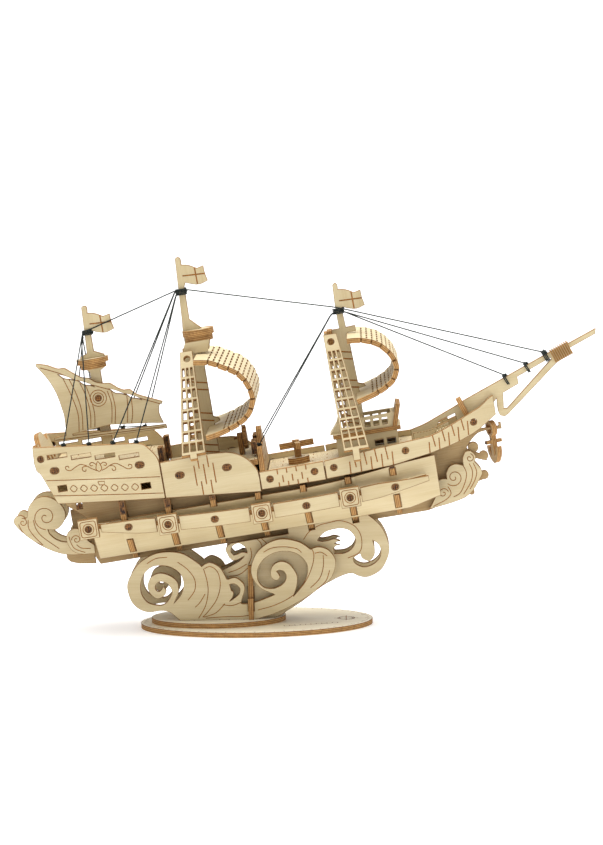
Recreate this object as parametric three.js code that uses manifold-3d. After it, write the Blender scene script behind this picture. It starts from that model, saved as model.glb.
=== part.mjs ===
// A laser-cut plywood sailing ship that slots together from flat sheets and rides on a stand of wave scrolls.
// Millimetres, +Z up, bow towards +X, starboard towards -Y. The origin is the middle of the base's underside.
import * as THREE from "three";
import { mergeVertices } from "three/addons/utils/BufferGeometryUtils.js";
import Module from "manifold-3d";

const wasm = await Module();
wasm.setup();

// ---- Driving dimensions -----------------------------------------------------------------------------------
const ply = 2.5; // sheet thickness
const gap = 0.3; // clearance between a tab and its slot, and between sheets that touch
const threadDiameter = 0.6;

// Stand
const baseLength = 114;
const baseWidth = 67;
const plinthLength = 66;
const plinthWidth = 43;
const plinthOffset = -18.7; // the plinth sits aft of the base's middle
const outerWaveSpacing = 21.5; // between the middles of the two outer wave plates
const innerWaveSpacing = 11.5;
const crossPlateX = -2.2;
const crossPlateHeight = 31;

// Ship on the stand
const keelHeight = 43; // keel line above the ground, over the base's middle
const bowUp = THREE.MathUtils.degToRad(8.2);

// Hull
const beam = 64;
const keelAft = -87;
const keelFore = 86;
const ribCount = 7;
const ribPitch = 21.8;
const ribStart = -58.5;
const halfLapHeight = 12;
const garboardHeight = 4; // lower edge of the bottom planking above the keel line
const bilgeHeight = 25; // upper edge of the bottom planking
const topsideFoot = 22.5; // the recessed topside planking starts behind the bottom planking
const topsideHeight = 30.2;
const railAboveDeck = 2.8;
const ribProud = 0.6; // how far the ribs' tabs stand out of the planking
const liningRecess = 0.0281 * beam; // space between the bottom planking and the topside behind it
const waleHeight = 6.8;
const portSize = 9.4;
const portX = [-75.9, -37.7, 7.5, 50.3];
const pegHole = 3.2;

// Rig
const mizzenX = -63.4;
const mainSailWidth = 75;
const foreSailWidth = 62;
const ladderHead = 9; // half the spread of the shroud ladders at the masthead
const poopDeckHeight = 50;
const quarterDeckHeight = 43.5;
const mizzenFoot = [-65.6, -60.4]; // where each mast passes its deck
const mainFoot = [-19, -9.8];
const foreFoot = [54.8, 62.6];
const foreStepHeight = 28; // the fore mast stands in a step in the keel plate

// Fittings
const bulkheadX = 10.9; // the bulkhead at the break of the quarter deck
const capstanX = 27.9;
const capstanBase = 10.4;
const capstanPost = 3.2;
const wheelStandX = 1.2;
const wheelAxisHeight = 50.4;
const axleDiameter = 1.2;
const sternScrollY = 8.2;
const hookTop = 35.6; // the bar under the bow that the anchor hangs on
const hookDepth = 1.6;
const hookEnd = 128;
const anchorX = 123;

// ---- Finishes ---------------------------------------------------------------------------------------------
const birch = new THREE.MeshStandardMaterial({ color: 0xe2d0a4, roughness: 0.75, metalness: 0 });
const shadedBirch = new THREE.MeshStandardMaterial({ color: 0xcbb384, roughness: 0.8, metalness: 0 });
const charredEdge = new THREE.MeshStandardMaterial({ color: 0x8a5a2c, roughness: 0.85, metalness: 0 });
const threadMaterial = new THREE.MeshStandardMaterial({ color: 0x1c2622, roughness: 0.9, metalness: 0 });

// ---- Flat outlines ----------------------------------------------------------------------------------------
const vectors = (points) => points.map(([x, y]) => new THREE.Vector2(x, y));

// Outlines run anticlockwise, whichever way round their points were given.
function closed(points) {
  return new THREE.Shape(THREE.ShapeUtils.isClockWise(points) ? points.reverse() : points);
}

// A straight-sided outline.
const polygon = (points) => closed(vectors(points));

const roundness = 2; // straight pieces between two points of a round run

// Straight runs and round runs one after the other: a run marked "round" passes smoothly through its points.
function runs(...parts) {
  const points = [];
  for (const part of parts) {
    const flat = vectors(part.points);
    points.push(...(part.round ? new THREE.SplineCurve(flat).getPoints((flat.length - 1) * roundness) : flat));
  }
  return closed(points.filter((p, i) => p.distanceTo(points[(i + 1) % points.length]) > 0.02));
}
const round = (...points) => ({ round: true, points });
const straight = (...points) => ({ round: false, points });

function ellipse(x, y, length, width) {
  const shape = new THREE.Shape();
  shape.absellipse(x, y, length / 2, width / 2, 0, 2 * Math.PI, false, 0);
  return shape;
}

function rectangle(x0, y0, x1, y1) {
  return polygon([[x0, y0], [x1, y0], [x1, y1], [x0, y1]]);
}

// The height on a line through [x, z] points, for any x.
function along(points, x) {
  const after = points.findIndex((p) => p[0] >= x);
  if (after === 0) return points[0][1];
  if (after < 0) return points.at(-1)[1];
  const [a, b] = [points[after - 1], points[after]];
  return a[1] + ((b[1] - a[1]) * (x - a[0])) / (b[0] - a[0]);
}

// ---- Sheets in space --------------------------------------------------------------------------------------
function sheet(shape, holes = [], thickness = ply, curveSegments = 6) {
  const extruded = (outline, depth) =>
    new THREE.ExtrudeGeometry(outline, { depth, bevelEnabled: false, curveSegments })
      .translate(0, 0, -depth / 2);
  const plate = extruded(shape, thickness);
  return holes.length ? cut(plate, ...holes.map((hole) => extruded(hole, 3 * thickness))) : plate;
}
// Outline drawn as (x, z); the sheet's middle lies at y.
const sideways = (geometry, y = 0) => geometry.rotateX(Math.PI / 2).translate(0, y, 0);
// Outline drawn as (y, z); the sheet's middle lies at x.
function across(geometry, x = 0) {
  const turn = new THREE.Matrix4().makeBasis(
    new THREE.Vector3(0, 1, 0), new THREE.Vector3(0, 0, 1), new THREE.Vector3(1, 0, 0),
  );
  return geometry.applyMatrix4(turn).translate(x, 0, 0);
}
// Outline drawn as (x, y); the sheet's middle lies at z.
const level = (geometry, z) => geometry.translate(0, 0, z);

// A bent sheet: outer(x, v) and inner(x, v) give [y, z] for v from 0 to 1, at each station x.
function bentSheet(stations, levels, outer, inner) {
  const positions = [];
  const index = [];
  const rows = levels + 1;
  for (const face of [outer, inner])
    for (const x of stations) for (let j = 0; j < rows; j++) positions.push(x, ...face(x, j / levels));
  const n = stations.length;
  const at = (face, i, j) => (face * n + i) * rows + j;
  const quad = (a, b, c, d) => index.push(a, b, c, a, c, d);
  for (let i = 0; i < n - 1; i++) {
    for (let j = 0; j < levels; j++) {
      quad(at(0, i, j), at(0, i + 1, j), at(0, i + 1, j + 1), at(0, i, j + 1));
      quad(at(1, i, j), at(1, i, j + 1), at(1, i + 1, j + 1), at(1, i + 1, j));
    }
    quad(at(0, i, 0), at(1, i, 0), at(1, i + 1, 0), at(0, i + 1, 0));
    quad(at(0, i, levels), at(0, i + 1, levels), at(1, i + 1, levels), at(1, i, levels));
  }
  for (let j = 0; j < levels; j++) {
    quad(at(0, 0, j), at(0, 0, j + 1), at(1, 0, j + 1), at(1, 0, j));
    quad(at(0, n - 1, j), at(1, n - 1, j), at(1, n - 1, j + 1), at(0, n - 1, j + 1));
  }
  const geometry = new THREE.BufferGeometry();
  geometry.setAttribute("position", new THREE.Float32BufferAttribute(positions, 3));
  return geometry.setIndex(index);
}

function steps(from, to, count) {
  return Array.from({ length: count + 1 }, (_, i) => from + ((to - from) * i) / count);
}

function box(x0, x1, y0, y1, z0, z1) {
  return new THREE.BoxGeometry(x1 - x0, y1 - y0, z1 - z0).translate((x0 + x1) / 2, (y0 + y1) / 2, (z0 + z1) / 2);
}

// ---- Joining and cutting ----------------------------------------------------------------------------------
function toSolid(geometry) {
  const bare = geometry.clone();
  bare.deleteAttribute("normal");
  bare.deleteAttribute("uv");
  const merged = mergeVertices(bare, 1e-4);
  return new wasm.Manifold(
    new wasm.Mesh({
      numProp: 3,
      vertProperties: merged.attributes.position.array,
      triVerts: new Uint32Array(merged.index.array),
    }),
  );
}

function toGeometry(solid) {
  const { vertProperties, triVerts } = solid.getMesh();
  const geometry = new THREE.BufferGeometry();
  geometry.setAttribute("position", new THREE.BufferAttribute(vertProperties, 3));
  geometry.setIndex(new THREE.BufferAttribute(triVerts, 1));
  return geometry;
}

const join = (...geometries) => toGeometry(geometries.map(toSolid).reduce((a, b) => a.add(b)));
function cut(geometry, ...tools) {
  return toGeometry(tools.map(toSolid).reduce((a, b) => a.subtract(b), toSolid(geometry)));
}

// The port-side copy of a starboard piece.
function mirrored(geometry) {
  const copy = (geometry.index ? geometry.toNonIndexed() : geometry.clone()).scale(1, -1, 1);
  const p = copy.attributes.position;
  for (let i = 0; i < p.count; i += 3) {
    const [x, y, z] = [p.getX(i), p.getY(i), p.getZ(i)];
    p.setXYZ(i, p.getX(i + 1), p.getY(i + 1), p.getZ(i + 1));
    p.setXYZ(i + 1, x, y, z);
  }
  return copy;
}

// ---- The model --------------------------------------------------------------------------------------------
const model = new THREE.Group();
const ship = new THREE.Group();
ship.rotation.y = -bowUp;
ship.position.z = keelHeight;
model.add(ship);

function add(parent, name, geometry, material = birch) {
  const mesh = new THREE.Mesh(geometry, material);
  mesh.name = name;
  geometry.computeVertexNormals();
  parent.add(mesh);
  return mesh;
}

function addBothSides(parent, name, geometry, material = birch) {
  add(parent, name + "_starboard", geometry, material);
  add(parent, name + "_port", mirrored(geometry), material);
}

// ---- Hull lines -------------------------------------------------------------------------------------------
const broadestX = 15;
const bowTaper = 112;
const sternTaper = 190;
const stemHalf = 1.5 * ply + gap + 0.05; // the bulwarks close on the bowsprit's heel
const sheerLine = [[-36, 36], [40.6, 36.2], [68, 37.7], [92.7, 38.2], [105.7, 42], [119, 46.7], [125.8, 51]];
const bowLowerLine = [[40, 27.6], [73.5, 28.3], [92.4, 30.2], [105.2, 32.4], [117.3, 36.3], [127, 42.2]];

// Half the breadth over the bulwarks.
function halfBeam(x) {
  const fore = Math.max(0, x - broadestX) / bowTaper;
  const aft = Math.max(0, -30 - x) / sternTaper;
  return Math.max(stemHalf, (beam / 2) * (1 - fore ** 2.4 - aft ** 2));
}
// Outside of the bottom planking at height z.
function bilge(x, z) {
  const rise = THREE.MathUtils.clamp((z - garboardHeight) / (bilgeHeight - garboardHeight), 0, 1);
  return halfBeam(x) * (0.36 + 0.62 * rise ** 0.8);
}
// Outside of the recessed topside planking between the bottom planking and the bulwarks.
const topside = (x) => bilge(x, topsideFoot) - ply - liningRecess;
const waleLine = (x) => 16.9 + (x < 20 ? 0.00062 : 0.0004) * (x - 20) ** 2;
const mainDeckLine = (x) => along(sheerLine, x) - railAboveDeck - ply / 2;
const poopDeckLine = (x) => poopDeckHeight - 0.0855 * (x + 58);
const quarterDeckLine = () => quarterDeckHeight - ply;
const keelTop = 29.5;
const ribX = Array.from({ length: ribCount }, (_, i) => ribStart + ribPitch * i);

// ---- Stand ------------------------------------------------------------------------------------------------
const plinthTop = 2 * ply;
const crossLap = 9; // height of the half laps between the cross plate and the outer waves
const innerLap = 20; // the inner waves drop over the cross plate from above, down to this height

function wavePlate(outline, holes, y, tenons) {
  const plate = sideways(sheet(outline, holes), y);
  const feet = tenons.map(([from, to]) => box(from, to, y - ply / 2, y + ply / 2, ply, plinthTop + 1));
  return join(plate, ...feet);
}

function buildStand() {
  const outerTenons = [[-30, -18], [-13, -6]];
  const innerTenons = [[-28, -16], [-12, 3]];
  add(model, "base_disc", sheet(ellipse(0, 0, baseLength, baseWidth), [], ply, 40).translate(0, 0, ply / 2));

  const slots = [];
  for (const [spacing, tenons] of [[outerWaveSpacing, outerTenons], [innerWaveSpacing, innerTenons]])
    for (const side of [-1, 1])
      for (const [from, to] of tenons) {
        const y = (side * spacing) / 2;
        slots.push(rectangle(from - gap, y - ply / 2 - gap, to + gap, y + ply / 2 + gap));
      }
  const plinth = sheet(ellipse(plinthOffset, 0, plinthLength, plinthWidth), slots, ply, 28);
  add(model, "plinth_disc", plinth.translate(0, 0, 1.5 * ply));

  // Outer plate: a great curl aft, a lobe, a small curl and a second great curl forward.
  const outerOutline = runs(
    round([-37, plinthTop], [-42.3, 9.4], [-47, 10.1], [-51.2, 9.5], [-55.8, 10.5], [-60.4, 14.6], [-62.5, 22.3],
      [-60.5, 28], [-56.6, 33.5], [-49.4, 37.9], [-42.4, 39.1], [-34.9, 38], [-28.5, 33.9], [-25.8, 31.5]),
    round([-25.6, 31.7], [-22, 33.4], [-16.9, 30.8], [-13.8, 25.1]),
    round([-12.9, 25], [-9.6, 25.7], [-5.9, 23], [-5.1, 19.7], [-6.6, 15], [-7, 12.9]),
    round([-5.8, 12.7], [0.3, 13.5], [9.4, 16.9]),
    round([9, 17.2], [3, 20], [-1, 25], [-1.7, 31], [1.5, 38.2], [8, 43], [15, 44.3], [22.5, 42.4], [27.4, 38.9]),
    round([27.8, 39.1], [31.4, 40.1], [35.9, 38.6], [39.1, 34.6], [39.4, 30.5], [37.2, 24.6], [33.2, 21],
      [25.3, 15.6], [16.2, 10.6], [8, 7.2], [0, plinthTop]),
  );
  const outerHoles = [
    runs(
      round([-39.8, 13.7], [-36.5, 17.5], [-34.9, 22.2], [-35.5, 26.5], [-38, 29.8], [-41.7, 31.8], [-45.4, 32.4],
        [-49.6, 32], [-53.4, 29.2], [-55.7, 24], [-55.6, 18.8], [-52.9, 14.5], [-48.7, 13], [-45, 13.1],
        [-42.1, 15.7], [-40.6, 19.5], [-42.8, 23.3], [-46.1, 24.5], [-48.5, 22.9], [-48.5, 20.6], [-46.7, 19.6],
        [-45.2, 21.4]),
      round([-44.7, 22.1], [-43.4, 20], [-44.4, 17.6], [-47.7, 16], [-50.9, 18.2], [-52.5, 22.1], [-50.7, 26.8],
        [-46, 28.7], [-40.9, 27], [-37.7, 23.7], [-37.4, 19]),
    ),
    runs(
      round([18.6, 16], [22.5, 20.5], [25.5, 26.5], [25.3, 32], [21.5, 36.4], [16, 38.2], [10, 37.6], [4.5, 34.4],
        [1.5, 29.5], [1.6, 24], [4.5, 20.6], [9.7, 20.2], [14, 22.6], [15.3, 26], [13.8, 28.6], [11.6, 28.9]),
      round([10.6, 28.4], [12.2, 26], [11, 24], [8.8, 24.6], [7.6, 27.2], [8.8, 31.2], [12.8, 33.3], [17.2, 31.6],
        [20.6, 26], [20.2, 20.6]),
    ),
    runs(round([-12.4, 22.4], [-10.1, 22.7], [-7.5, 20.4], [-8.3, 17.2], [-12.6, 14.1]),
      round([-11, 16.4], [-10.6, 18.4], [-11.8, 19.6])),
  ];
  const outerY = outerWaveSpacing / 2;
  const crossSlot = [crossPlateX - ply / 2 - gap, crossPlateX + ply / 2 + gap];
  const outerWave = cut(
    wavePlate(outerOutline, outerHoles, -outerY, outerTenons),
    box(...crossSlot, -outerY - ply, -outerY + ply, crossLap, 20),
  );
  addBothSides(model, "wave_outer", outerWave);

  // Inner plate: a small crest aft, and a great ring and a drop forward that carry the hull.
  const innerOutline = runs(
    round([-34, plinthTop], [-30, 16], [-22, 25.5], [-13.8, 29.7], [-7.5, 33], [-5.2, 35.4]),
    round([-7.4, 34.2], [-11.2, 33.4], [-13.6, 37.1], [-14.1, 39.4], [-11.2, 42.2], [-6.7, 43.9]),
    straight([0, 60], [53, 60]),
    round([56, 54.5], [61.5, 49.4], [64.9, 42.9], [65.7, 36], [61.8, 27.6], [54.1, 23.8], [47.4, 25.9]),
    round([42, 24.6], [33, 20], [22, 12], [10, plinthTop]),
  );
  const innerHoles = [
    runs(
      round([30.9, 42.4], [32.4, 44.6], [35.5, 46.9], [41.7, 48.2], [46.7, 46.9], [49.4, 42.6], [47.6, 38.1],
        [43.6, 35.9], [39.1, 35.7]),
      round([38.6, 38.3], [40, 39.7], [42, 39.9]),
      round([39.3, 40.8], [40.8, 42], [42.1, 42.2]),
      round([38.7, 43.1], [35.9, 42.3], [33, 41.9]),
    ),
    runs(
      round([57.8, 41.9], [60.4, 40.2], [61.6, 37.2], [61, 33.3], [57.5, 30], [53, 28.9], [49.1, 30.7],
        [48.3, 33.4], [51.5, 35.5]),
      round([52.4, 33.4], [55.9, 31.6], [58.6, 35], [58.6, 39]),
    ),
    runs(round([-11.6, 37.6], [-10.8, 40.4], [-7.6, 41.8], [-4.4, 39.6], [-3.6, 37]),
      round([-6.4, 37.4], [-8.6, 36.4], [-10.2, 36])),
  ];
  const innerY = innerWaveSpacing / 2;
  const hullBottom = 1.2 - 2 * gap;
  const seat = garboardHeight + 1; // the plate reaches up between the ribs to this height
  const seatFrom = 17;
  ship.updateMatrixWorld(true);
  const clearances = [
    box(-60, 120, -20, 20, seat, 60),
    box(-60, seatFrom, -20, 20, hullBottom, 60),
    ...ribX.slice(4, 6).map((x) => box(x - ply / 2 - gap, x + ply / 2 + gap, -20, 20, hullBottom, 60)),
  ].map((tool) => tool.applyMatrix4(ship.matrixWorld));
  const innerWave = cut(
    wavePlate(innerOutline, innerHoles, -innerY, innerTenons),
    ...clearances,
    box(...crossSlot, -innerY - ply, -innerY + ply, 0, innerLap + gap),
  );
  addBothSides(model, "wave_inner", innerWave);

  const flange = outerY + ply / 2 + 1.6;
  const narrow = outerY - ply / 2 - gap;
  const crossOutline = polygon([
    [-flange, plinthTop], [flange, plinthTop], [flange, 15.3], [narrow, 15.3], [narrow, crossPlateHeight],
    [-narrow, crossPlateHeight], [-narrow, 15.3], [-flange, 15.3],
  ]);
  const laps = [[outerY, 0, crossLap + gap], [innerY, innerLap, crossPlateHeight + 1]].flatMap(([y, low, high]) =>
    [-y, y].map((middle) => box(-10, 10, middle - ply / 2 - gap, middle + ply / 2 + gap, low, high)));
  add(model, "wave_cross_plate", cut(across(sheet(crossOutline), crossPlateX), ...laps), shadedBirch);
}

// ---- Hull -------------------------------------------------------------------------------------------------
const ribTabs = [[5.5, 12.5], [bilgeHeight - 1.6, bilgeHeight + 1.5]]; // heights where a rib's edge shows through
const slotWidth = ply + 2 * gap;

function ribSlots() {
  return ribX.flatMap((x) =>
    ribTabs.map(([low, high]) => box(x - slotWidth / 2, x + slotWidth / 2, -60, -4, low - gap, high + gap)));
}

function buildKeel() {
  const deckUnderside = (x) => mainDeckLine(x) - ply / 2 - gap;
  const outline = runs(
    straight([keelAft, 9.5], [-85, 4.9], [-79, 4.9], [-76.8, 0], [keelFore, 0]),
    round([92, 1.4], [98, 3.2], [104, 6.6], [108.4, 11], [111, 16.5], [111, 23], [109.6, 27.6]),
    straight([113, 31.4], [117, hookTop - hookDepth], [hookEnd, hookTop - hookDepth], [hookEnd, hookTop + 1.6],
      [hookEnd - 1.3, hookTop + 1.6], [hookEnd - 1.3, hookTop], [118.4, hookTop], [117.5, 39.5]),
    straight([105, deckUnderside(105)], [92.7, deckUnderside(92.7)], [68, deckUnderside(68)],
      [40.6, deckUnderside(40.6)], [12, deckUnderside(12)], [9, keelTop], [-79, keelTop], [keelAft, keelTop - 1]),
  );
  const skeg = polygon([[-92.5, 7.6], [-92.6, 5.4], [-91, 3.4], [-78.9, 0.6], [-78.9, 5.6], [-84, 7.6]]);
  const beads = [[112.8, 27.2, 2.6], [117.2, 22.4, 2.3], [116, 12.9, 2.2], [108.6, 5.6, 1.5]];
  const bead = ([x, z, r]) => sideways(sheet(ellipse(x, z, 2 * r, 2 * r), [], ply, 8));
  const necks = [
    [[109, 23], [118.5, 19.6], [118.5, 22], [109, 27]],
    [[107, 8], [116, 11], [116.5, 14.4], [107, 15]],
    [[103, 6], [108.8, 4.2], [109.6, 6.4], [106, 9]],
  ];
  const keel = join(
    ...[outline, skeg, ...necks.map(polygon)].map((shape) => sideways(sheet(shape))), ...beads.map(bead),
  );
  const laps = ribX.map((x) => box(x - slotWidth / 2, x + slotWidth / 2, -5, 5, halfLapHeight, 60));
  const foreStep = box(foreFoot[0] - gap, foreFoot[1] + gap, -5, 5, foreStepHeight - gap, 60);
  add(ship, "keel_plate", cut(keel, ...laps, foreStep), shadedBirch);
}

function ribTop(x) {
  if (x < -50) return poopDeckLine(x) - ply / 2 - 2 * gap;
  if (x < 9) return quarterDeckHeight - 2 * ply - 2 * gap + 0.4;
  return mainDeckLine(x) - ply / 2 - 2 * gap;
}

function buildRibs() {
  ribX.forEach((x, i) => {
    const top = ribTop(x);
    const planked = (z) => bilge(x, z) - ply - 4 * gap;
    const lining = topside(x) - ply - 2 * gap;
    const side = [[planked(4) - 2, 1.2], [planked(4.6), 4.6]];
    const [lower, upper] = ribTabs;
    side.push([planked(lower[0]), lower[0]], [bilge(x, lower[0]) + ribProud, lower[0]]);
    side.push([bilge(x, lower[1]) + ribProud, lower[1]], [planked(lower[1]), lower[1]], [planked(16), 16]);
    side.push([Math.min(planked(18.5), lining), 18.5], [lining, 20], [lining, upper[0]]);
    side.push([bilge(x, bilgeHeight) + ribProud, upper[0]], [bilge(x, bilgeHeight) + ribProud, upper[1]]);
    side.push([lining, upper[1]], [lining, top]);
    const outline = polygon([...side, ...side.map(([y, z]) => [-y, z]).reverse()]);
    const tools = [box(x - 5, x + 5, -slotWidth / 2, slotWidth / 2, 0, halfLapHeight + gap)];
    if (x < bulkheadX) tools.push(box(x - 5, x + 5, -slotWidth / 2, slotWidth / 2, keelTop + gap, 60));
    add(ship, "rib_" + (i + 1), cut(across(sheet(outline), x), ...tools), charredEdge);
  });
}

function buildPlanking() {
  const bottomTop = [[-76, 23.5], [-58, 24.4], [40, 25], [80, 28.6], [94, 28.9]];
  const stations = steps(-75.5, 93.5, 11);
  const height = (x, v) => {
    const low = x > 88 ? garboardHeight + 0.25 * (x - 88) ** 1.6 : garboardHeight;
    return low + v * (along(bottomTop, x) - low);
  };
  const outer = (x, v) => [-bilge(x, height(x, v)), height(x, v)];
  const inner = (x, v) => [-bilge(x, height(x, v)) + ply, height(x, v)];
  addBothSides(ship, "hull_side", cut(bentSheet(stations, 2, outer, inner), ...ribSlots()));

  const lowEdge = [[-86.5, 34.6], [-79, 28.5], [-74, topsideFoot]];
  const low = (x) => (x < -74 ? along(lowEdge, x) : topsideFoot);
  const high = (x) => topsideHeight + (x < -36 ? 5.4 : 0) - (x < 72 ? 0 : 1.6);
  const liningStations = [-86, -79, -74, -55, -36.1, -35.9, -10, 15, 38, 55, 71.9, 72.1, 82, 92];
  const face = (inset) => (x, v) => [-(topside(x) - inset), low(x) + v * (high(x) - low(x))];
  const lining = bentSheet(liningStations, 1, face(0), face(ply));
  const sternPeg = box(-81, -78, -60, -4, 31.4, 34.4);
  addBothSides(ship, "topside", cut(lining, ...ribSlots(), sternPeg), shadedBirch);
}

// A bulwark between two lines of [x, z] points, with holes given as [x, z, width, height].
function bulwark(name, from, to, count, topLine, bottomLine, holes) {
  const xs = new Set(steps(from, to, count));
  for (const [x] of [...topLine, ...bottomLine]) if (x > from && x < to) xs.add(x);
  const stations = [...xs].sort((a, b) => a - b).filter((x, i, all) => i === 0 || x - all[i - 1] > 0.2);
  const height = (x, v) => along(bottomLine, x) + v * (along(topLine, x) - along(bottomLine, x));
  const face = (inset) => (x, v) => [-(halfBeam(x) - inset), height(x, v)];
  const tools = holes.map(([x, z, w, h]) => box(x - w / 2, x + w / 2, -60, -2, z - h / 2, z + h / 2));
  addBothSides(ship, name, cut(bentSheet(stations, 1, face(0), face(ply)), ...tools));
}

const pegs = { // where the decks' tabs pass through the bulwarks: x and half-width of each tab
  poop: [[-87.6, 1.9], [-46.5, 1.9]],
  quarter: [[-28.4, 1.9], [-5.5, 1.9]],
  main: [[13.9, 1.3], [35.5, 1.3], [44.9, 1.3], [80, 1.3]],
};
const pegHoles = (list, line) => list.map(([x, half]) => [x, line(x), 2 * (half + gap), pegHole]);

function buildBulwarks() {
  const sternTop = [[-96.4, 65.1], [-46.5, 59.5], [-43, 58.2], [-40, 54.8], [-38, 51.6], [-37.2, 48.6]];
  const sternBottom = [[-96.4, 53.9], [-94.5, 51.4], [-88.8, 36.4], [-37.2, 31.2]];
  const windows = [-85.2, -73.7, -62.3, -50.9].map((x) => [x, 56.6 - 0.155 * (x + 67.7), 9.6, 2]);
  const ports = [[-85.3, 43.5, 4.4, 3], [-45.3, 38.5, 4.6, 3]];
  bulwark("stern_panel", -96.4, -37.2, 5, sternTop, sternBottom,
    [...windows, ...ports, ...pegHoles(pegs.poop, poopDeckLine), [-93.3, 59, pegHole, pegHole]]);
  bulwark("quarter_panel", -36.8, 8.8, 3,
    [[-36.8, 48.4], [-14.3, 48.9], [-4.5, 48.2], [0.5, 46.4], [5, 43], [8, 38.6], [8.8, 36.4]],
    [[-36.8, 31.2], [8.8, 26.9]], pegHoles(pegs.quarter, quarterDeckLine));
  bulwark("waist_panel", 9.3, 40.3, 4, sheerLine, [[9.3, 27.7], [40.3, 27.4]],
    pegHoles(pegs.main.slice(0, 2), mainDeckLine));
  bulwark("bow_panel", 40.8, 126.2, 8, sheerLine, bowLowerLine,
    [...pegHoles(pegs.main.slice(2), mainDeckLine), [114.8, 40.2, pegHole, pegHole]]);
}

// A straight or bent bar along the hull: y from -far(x) to -near(x), z from low(x) to high(x).
function bar(stations, far, near, low, high) {
  const height = (x, v) => low(x) + v * (high(x) - low(x));
  return bentSheet(stations, 1, (x, v) => [-far(x), height(x, v)], (x, v) => [-near(x), height(x, v)]);
}

function buildWales() {
  const outside = (x) => halfBeam(x) + 1.6;
  const inside = (x) => bilge(x, waleLine(x) + 2) + ribProud + gap;
  const shelfMiddle = (x) => waleLine(x) + 0.85;
  const shelf = bar(steps(-78, 88, 9), (x) => outside(x) + 0.4, inside, (x) => shelfMiddle(x) - ply / 2,
    (x) => shelfMiddle(x) + ply / 2);
  const taper = (x) => Math.min(1, 0.5 + (x + 72) / 40, 0.35 + (89 - x) / 38);
  const strips = [[-70, -43.4], [-32.1, 1.6], [13.3, 44.8], [55.7, 89]].map(([from, to]) =>
    bar(steps(from, to, 3), (x) => outside(x) + ply / 2, (x) => outside(x) - ply / 2,
      (x) => waleLine(x) - (waleHeight / 2) * taper(x), (x) => waleLine(x) + (waleHeight / 2) * taper(x)));
  const ports = portX.map((x) => {
    const [y, z, half] = [-outside(x), waleLine(x), portSize / 2];
    const frame = box(x - half, x + half, y - ply / 2 - 1.6, y + ply / 2, z - half, z + half);
    return cut(frame, sideways(sheet(ellipse(x, z, 3.4, 3.4), [], ply, 5), y - ply / 2 - 1.6));
  });
  addBothSides(ship, "wale", join(shelf, ...strips, ...ports));
}

// ---- Decks, bulkhead and transom ---------------------------------------------------------------------------
function deck(stations, line, tabs) {
  const half = (x) => halfBeam(x) - ply - gap;
  const plank = bar(stations, half, (x) => -half(x), (x) => line(x) - ply / 2, (x) => line(x) + ply / 2);
  const ends = tabs.map(([x, reach]) => {
    const y = halfBeam(x) - 0.2;
    return box(x - reach, x + reach, -y, y, line(x) - ply / 2 + 0.1, line(x) + ply / 2 - 0.1);
  });
  return join(plank, ...ends);
}

function buildDecks() {
  const mastSlot = (x0, x1) => box(x0 - gap, x1 + gap, -slotWidth / 2, slotWidth / 2, 20, 70);
  const poop = deck(steps(-87.8, -37.4, 5), poopDeckLine, pegs.poop);
  add(ship, "poop_deck", cut(poop, mastSlot(...mizzenFoot)));

  const stand = across(sheet(polygon([[-3.4, 42], [3.4, 42], [2.6, 52.6], [-2.6, 52.6]])), wheelStandX);
  const bore = axleDiameter + 2 * gap;
  const bearing = across(sheet(ellipse(0, wheelAxisHeight, bore, bore), [], 2 * ply), wheelStandX);
  const quarter = join(deck(steps(-36.2, 9.3, 3), quarterDeckLine, pegs.quarter), cut(stand, bearing));
  add(ship, "quarter_deck", cut(quarter, mastSlot(...mainFoot)));

  const deckTop = mainDeckLine(capstanX) + ply / 2;
  const half = capstanBase / 2;
  const base = level(sheet(polygon([[-half, -2], [-2, -half], [2, -half], [half, -2], [half, 2], [2, half],
    [-2, half], [-half, 2]].map(([x, y]) => [x + capstanX, y])), [], 3.2), deckTop + 1.5);
  const wellSize = capstanPost + 2 * gap;
  const well = level(sheet(ellipse(capstanX, 0, wellSize, wellSize), [], 6, 8), deckTop + 2.6);
  const main = deck([12.5, 20, 30, 40.6, 54, 68, 80, 92.7, 99, 104], mainDeckLine, pegs.main);
  add(ship, "main_deck", cut(join(main, base), well, mastSlot(...foreFoot)));

  const [low, side] = [mainDeckLine(bulkheadX) + ply / 2 + gap, halfBeam(bulkheadX) - ply - gap];
  const right = [[side, low], [side, 36.4], [26, 40], [22, 46.4], [7, 47.4], [5.2, 53.4], [2.6, 54.4]];
  const outline = [...right, ...right.map(([y, z]) => [-y, z]).reverse()];
  add(ship, "break_bulkhead", across(sheet(polygon(outline)), bulkheadX), shadedBirch);
}

function buildTransom() {
  const lean = Math.atan(0.266);
  const half = halfBeam(-90) - ply - 2 * gap;
  const crest = round([half - 1, 61], [half - 3.5, 66.5], [half - 8, 64.2], [13, 64.6], [8, 68.6], [0, 69.8],
    [-8, 68.6], [-13, 64.6], [8 - half, 64.2], [3.5 - half, 66.5], [1 - half, 61]);
  const outline = runs(straight([0.8 - half, 37.5], [half - 0.8, 37.5]), crest);
  const windows = [-15, -5, 5, 15].map((y) => rectangle(y - 3, 54.5, y + 3, 58.5));
  const plate = across(sheet(outline, windows)).translate(0, 0, -37.5).rotateY(-lean);
  add(ship, "transom", plate.translate(-88.3, 0, 37.5));
}

// ---- Masts --------------------------------------------------------------------------------------------------
const flagOutline = (x, z) => [[0, 0], [4, -0.4], [9, -2.6], [13.2, -1.8], [13.4, -5.4], [14.4, -9.4], [9, -10.6],
  [3, -9.4], [0.9, -8.6]].map(([dx, dz]) => [x + dx * 0.8 + 0.2, z + dz]);

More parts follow.
